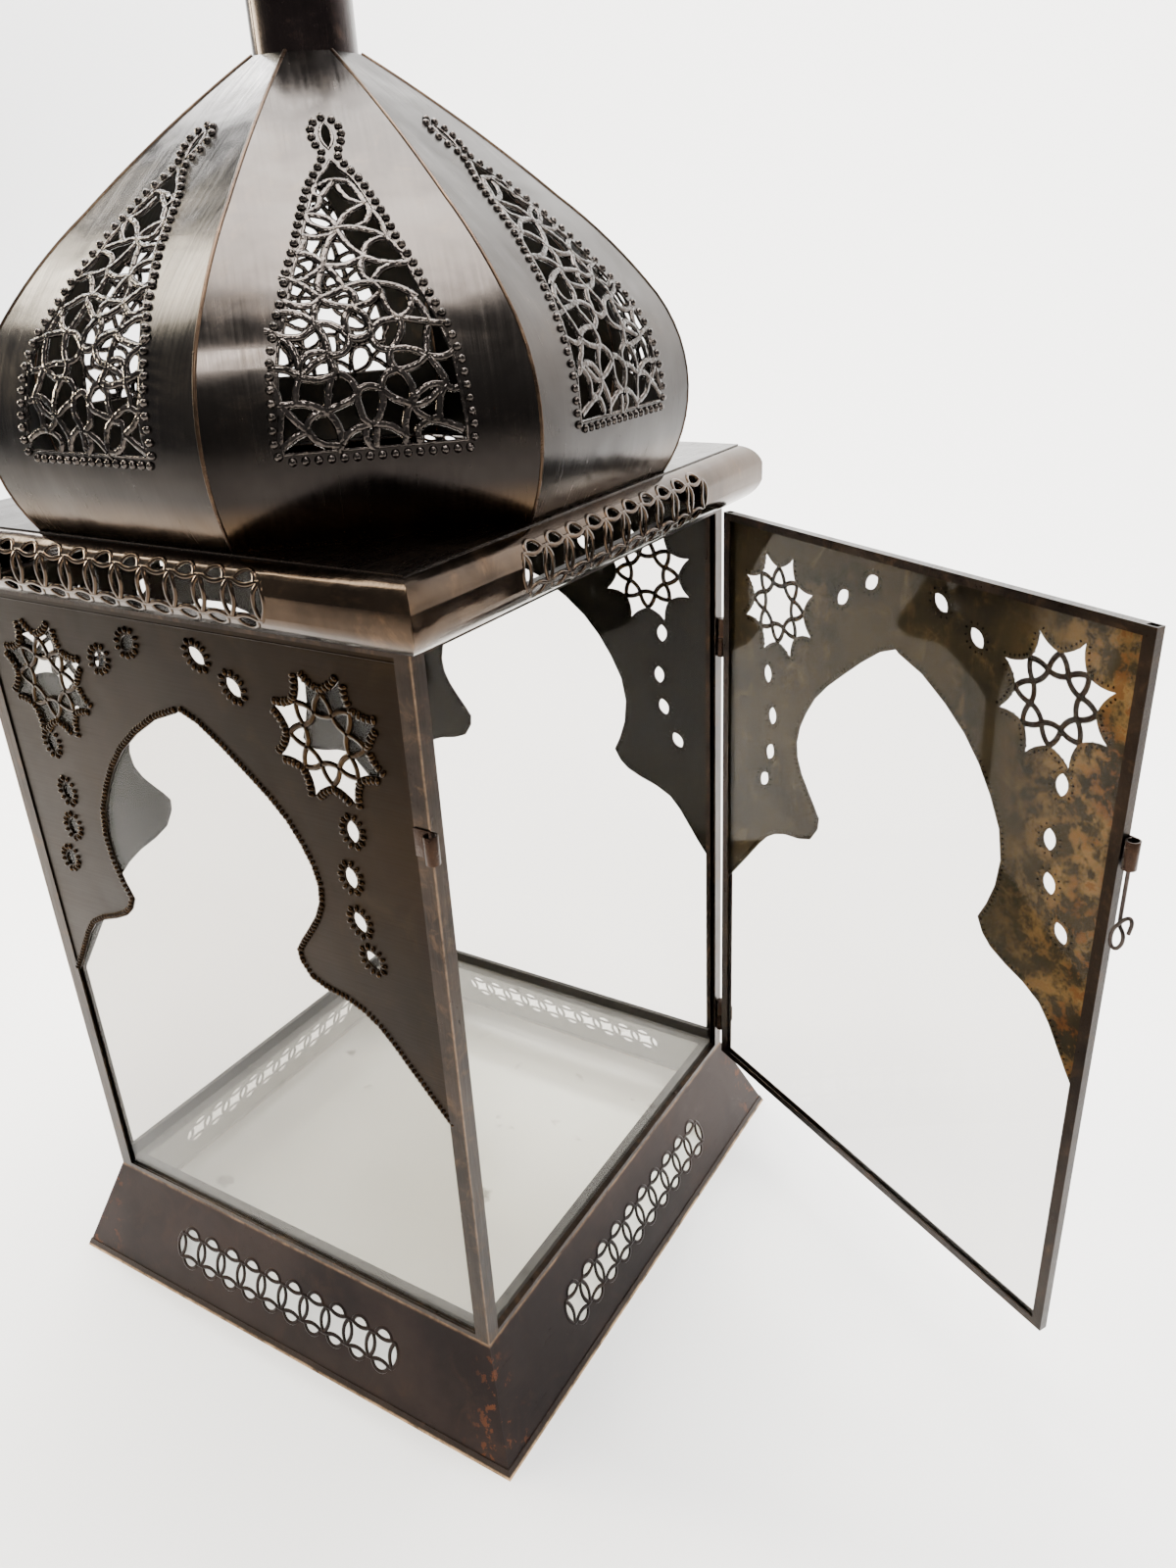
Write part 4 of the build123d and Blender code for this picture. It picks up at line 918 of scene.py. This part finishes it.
# ---------------------------------------------------------------- Neck, lid, eye and ring
# A rolled tube with a lap seam stands in the gores' tips. The lid, its wire eye and the carrying
# ring are above the photograph's edge.
neck_metal = metal(
    "neck_metal", (0.026, 0.019, 0.018), (0.010, 0.008, 0.008), (0.08, 0.05, 0.037),
    Clouds=16.0, Dark_share=0.8, Bright_share=0.4, Smooth=0.14, Rough=0.36, Dents=0.5, Brush_depth=0.03,
    Brushing=(500.0, 500.0, 14.0),
)
bpy.ops.object.select_all(action="DESELECT")
bpy.ops.mesh.primitive_cylinder_add(vertices=64, radius=0.0249, depth=0.0510, end_fill_type="NOTHING", location=(0, 0, 0.7153))
bpy.ops.object.transform_apply(location=True, rotation=True, scale=True)
neck = bpy.context.object
neck.name = "neck_sleeve"
give_thickness(neck, 0.8, neck_metal)
bpy.ops.mesh.primitive_cube_add(size=1, location=(0, 0, 0))
lap = bpy.context.object
lap.name = "neck_lap"
bpy.ops.object.mode_set(mode="EDIT")
bpy.ops.mesh.select_all(action="SELECT")
bpy.ops.transform.resize(value=(0.0008, 0.004, 0.0455))
bpy.ops.mesh.bevel(offset=0.0003, segments=2)
bpy.ops.transform.translate(value=(0.0246, 0, 0.7178))
bpy.ops.transform.rotate(value=radians(115), orient_axis="Z", center_override=(0, 0, 0))
bpy.ops.object.mode_set(mode="OBJECT")
bpy.ops.object.shade_smooth_by_angle(angle=radians(40))
dress(neck, "lantern", "dome")
dress(lap, "lantern", "dome", neck_metal)
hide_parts("neck_tube")
nodes["neck_cap"].material_slots[0].material = neck_metal

ring_metal = metal(
    "ring_metal", (0.07, 0.048, 0.034), (0.025, 0.018, 0.014), (0.17, 0.11, 0.065),
    Clouds=50.0, Smooth=0.2, Rough=0.4, Dents=0.1,
)
lean = radians(51)
bpy.ops.mesh.primitive_torus_add(
    major_radius=0.027, minor_radius=0.0021, major_segments=64, minor_segments=12,
    location=(0, -0.027 * cos(lean), 0.763 - 0.027 * sin(lean)), rotation=(pi / 2 + lean - pi, 0, 0),
)
bpy.ops.object.transform_apply(location=True, rotation=True, scale=True)
carrying = bpy.context.object
carrying.name = "ring_round"
bpy.ops.object.shade_smooth()
dress(carrying, "carry_ring", "wire", ring_metal)
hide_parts("carry_ring")
bpy.ops.object.select_all(action="DESELECT")
bpy.ops.mesh.primitive_torus_add(
    major_radius=0.0056, minor_radius=0.0015, major_segments=32, minor_segments=10,
    location=(0, 0, 0.763), rotation=(0, pi / 2, 0),
)
bpy.ops.object.transform_apply(location=True, rotation=True, scale=True)
eye = bpy.context.object
eye.name = "eye_round"
bpy.ops.object.shade_smooth()
dress(eye, "lantern", "wire", ring_metal)
nodes["ring_eye"].material_slots[0].material = ring_metal

# ---------------------------------------------------------------- Door
# A frame of folded channel holds a pane and an arch sheet like those of the box. It stands open,
# so its inside shows: mottled olive and brass patina, with rust near the free edge.
door_turn = radians(-29)
door_along = Vector((cos(door_turn), sin(door_turn), 0))
door_outside = Vector((-sin(door_turn), cos(door_turn), 0))
hinge_place = Vector((0.153, 0.144, 0))


def hang(piece, face):
    """Sets a flat piece on the open door, x along the leaf from the hinge, at a distance towards the outside."""
    mesh = piece.data
    pattern = mesh.uv_layers.new(name="flat") if not mesh.uv_layers else mesh.uv_layers[0]
    for loop, corner in zip(mesh.loops, pattern.data):
        corner.uv = mesh.vertices[loop.vertex_index].co.xy
    for vertex in mesh.vertices:
        x, y, rise = vertex.co
        vertex.co = hinge_place - door_along * x + door_outside * (face / 1000 + rise) + Vector((0, 0, y))
    mesh.update()


door_inside = metal(
    "door_inside", (0.044, 0.031, 0.012), (0.0115, 0.0087, 0.0044), (0.130, 0.090, 0.034), metallic=0.75, flat=True,
    Clouds=13.0, Dark_share=0.95, Bright_share=0.75, Smooth=0.34, Rough=0.62, Dents=0.3, Brush_depth=0.02,
)
wear_and_shade(door_inside, (0.30, 0.175, 0.055), [("u", -0.215, -0.285)], share=0.95, patches=75.0, least=-1.1)
wear_and_shade(door_inside, (0.16, 0.055, 0.012), [("u", -0.240, -0.291)], share=0.8, patches=150.0, least=-2.2)
outlines, bars, beads = arch_pattern(143.4, 2.4, 395.6, centre=-149.3)
shifted = lambda points: [(x, y + 64) for x, y in points]
sheet_piece = flat_sheet("door_arch_sheet", [shifted(outline) for outline in outlines])
bar_piece = round_bars("door_arch_stars", [(shifted(run), closed) for run, closed in bars], 3.1, 1.5)
bead_piece = punched_beads("door_arch_beads", [(x, y + 64, *rest) for x, y, *rest in beads], 1.3)
hang(sheet_piece, 1.3)
give_thickness(sheet_piece, 0.8, panel_metal, door_inside)
hang(bar_piece, 1.0)
hang(bead_piece, 1.3)
dress(sheet_piece, "door", "panel")
dress(bar_piece, "door", "panel", bead_metal)
dress(bead_piece, "door", "panel", bead_metal)
pits = punched_beads("door_arch_pits", [(x, y + 64, turn, 1.5, 1.1) for x, y, turn, _, _ in beads], -0.35)
pits.data.flip_normals()
hang(pits, 0.5)
dress(pits, "door", "panel", bead_metal)
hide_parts("door_arch")
door_metal = metal(
    "door_metal", (0.019, 0.0125, 0.0085), (0.007, 0.005, 0.004), (0.070, 0.038, 0.018),
    Clouds=22.0, Dark_share=0.75, Bright_share=0.45, Smooth=0.22, Rough=0.45, Dents=0.4,
)
for name in ("door_stile_hinge", "door_stile_latch", "door_rail_top", "door_rail_bottom"):
    nodes[name].material_slots[0].material = door_metal

# ---------------------------------------------------------------- Hinges and latch
# Knuckles of thin sheet with riveted pins. The latch has a curled keeper on the post, a curled
# barrel on the door's free edge, and a wire pin with an eye and a hooked tail at its foot.
latch_metal = metal(
    "latch_metal", (0.030, 0.0175, 0.012), (0.013, 0.009, 0.007), (0.090, 0.048, 0.027),
    Clouds=70.0, Smooth=0.22, Rough=0.42, Dents=0.1, Hammering=0.08,
)
wire_metal = metal(
    "wire_metal", (0.040, 0.031, 0.027), (0.016, 0.012, 0.011), (0.11, 0.08, 0.06),
    Clouds=120.0, Smooth=0.22, Rough=0.45, Dents=0.1, Hammering=0.05,
)
for name in ("hinge_knuckles_post", "hinge_knuckles_door", "hinge_pins"):
    nodes[name].material_slots[0].material = latch_metal


def on_door(u, v, z):
    """The place of a distance along the leaf, one across it and a height, in millimetres."""
    return hinge_place + (door_along * u + door_outside * v + Vector((0, 0, z))) / 1000


def curled_strip(name, profile, foot, head, place):
    """A strip of sheet rolled to a profile of millimetres, upright between two heights."""
    mesh = bpy.data.meshes.new(name)
    mesh.from_pydata([(x, y, foot) for x, y in profile], [(n, n + 1) for n in range(len(profile) - 1)], [])
    strip = bpy.data.objects.new(name, mesh)
    bpy.context.collection.objects.link(strip)
    bpy.ops.object.select_all(action="DESELECT")
    strip.select_set(True)
    bpy.context.view_layer.objects.active = strip
    bpy.ops.object.mode_set(mode="EDIT")
    bpy.ops.mesh.select_all(action="SELECT")
    bpy.ops.mesh.extrude_region_move(TRANSFORM_OT_translate={"value": (0, 0, head - foot)})
    bpy.ops.object.mode_set(mode="OBJECT")
    wall = strip.modifiers.new("wall", "SOLIDIFY")
    wall.thickness = 0.8
    wall.offset = 0
    soft = strip.modifiers.new("soft", "BEVEL")
    soft.width = 0.16
    soft.segments = 2
    for modifier in ("wall", "soft"):
        bpy.ops.object.modifier_apply(modifier=modifier)
    for vertex in strip.data.vertices:
        vertex.co = place(*vertex.co)
    bpy.ops.object.mode_set(mode="EDIT")
    bpy.ops.mesh.select_all(action="SELECT")
    bpy.ops.mesh.normals_make_consistent(inside=False)
    bpy.ops.object.mode_set(mode="OBJECT")
    bpy.ops.object.shade_smooth_by_angle(angle=radians(35))
    return strip


barrel_profile = [(285.7, 2.6), (291, 2.6)] + arc((296.6, 2.6), (300.2, -0.3), (296.9, -3.2), 10)
barrel_profile += arc((296.9, -3.2), (294.5, -1.0), (295.3, 1.2), 8) + [(295.3, 1.2)]
barrel = curled_strip("barrel_curl", barrel_profile, 352.0, 366.0, on_door)
dress(barrel, "door", "frame", latch_metal)
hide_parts("latch_barrel")
keeper_profile = [(141.1, -150.4), (146, -150.4)] + arc((152.2, -150.4), (155.6, -153.3), (152.6, -156.2), 10)
keeper_profile += arc((152.6, -156.2), (149.9, -154.2), (150.5, -152.0), 8) + [(150.5, -152.0)]
keeper = curled_strip("keeper_curl", keeper_profile, 367.5, 381.5, lambda x, y, z: Vector((x, y, z)) / 1000)
dress(keeper, "lantern", "frame", latch_metal)
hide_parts("latch_keeper")

bent = bpy.data.curves.new("pin_wire", "CURVE")
bent.dimensions = "3D"
bent.bevel_depth = 0.00095
bent.bevel_resolution = 3
bent.resolution_u = 6
bent.use_fill_caps = True
spline = bent.splines.new("NURBS")
pin_places = (
    (0, 0, 32.5), (0, 0, 20), (0, 0, 6), (0.2, 0, 1), (2.2, -0.2, -0.8), (3.4, -0.4, -3.6), (3.0, -0.6, -7.4), (0.9, -1.0, -10.6),
    (-1.5, -1.5, -9.6), (-2.1, -1.8, -5.8), (-1.4, -2.1, -1.0), (1.2, -2.2, 3.8), (4.2, -2.2, 7.6), (6.4, -2.2, 8.8), (7.5, -2.2, 6.4),
    (6.9, -2.2, 3.0), (6.5, -2.2, 0.8),
)
spline.points.add(len(pin_places) - 1)
for point, (u, v, z) in zip(spline.points, pin_places):
    point.co = (*on_door(297.3 + u, -0.3 + v, 322 + z), 1)
spline.order_u = 3
spline.use_endpoint_u = True
pin = bpy.data.objects.new("pin_wire", bent)
bpy.context.collection.objects.link(pin)
bpy.ops.object.select_all(action="DESELECT")
pin.select_set(True)
bpy.context.view_layer.objects.active = pin
bpy.ops.object.convert(target="MESH")
pin = bpy.context.object
bpy.ops.object.shade_smooth_by_angle(angle=radians(50))
bpy.ops.mesh.primitive_cylinder_add(vertices=20, radius=0.0021, depth=0.0018, location=on_door(297.3, -0.3, 355.2))
bpy.ops.object.transform_apply(location=True, rotation=True, scale=True)
head = bpy.context.object
head.name = "pin_head"
bpy.ops.object.mode_set(mode="EDIT")
bpy.ops.mesh.select_all(action="SELECT")
bpy.ops.mesh.bevel(offset=0.0005, segments=2)
bpy.ops.object.mode_set(mode="OBJECT")
bpy.ops.object.shade_smooth_by_angle(angle=radians(40))
for piece in (pin, head):
    dress(piece, "latch_pin", "wire", wire_metal)
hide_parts("latch_pin")
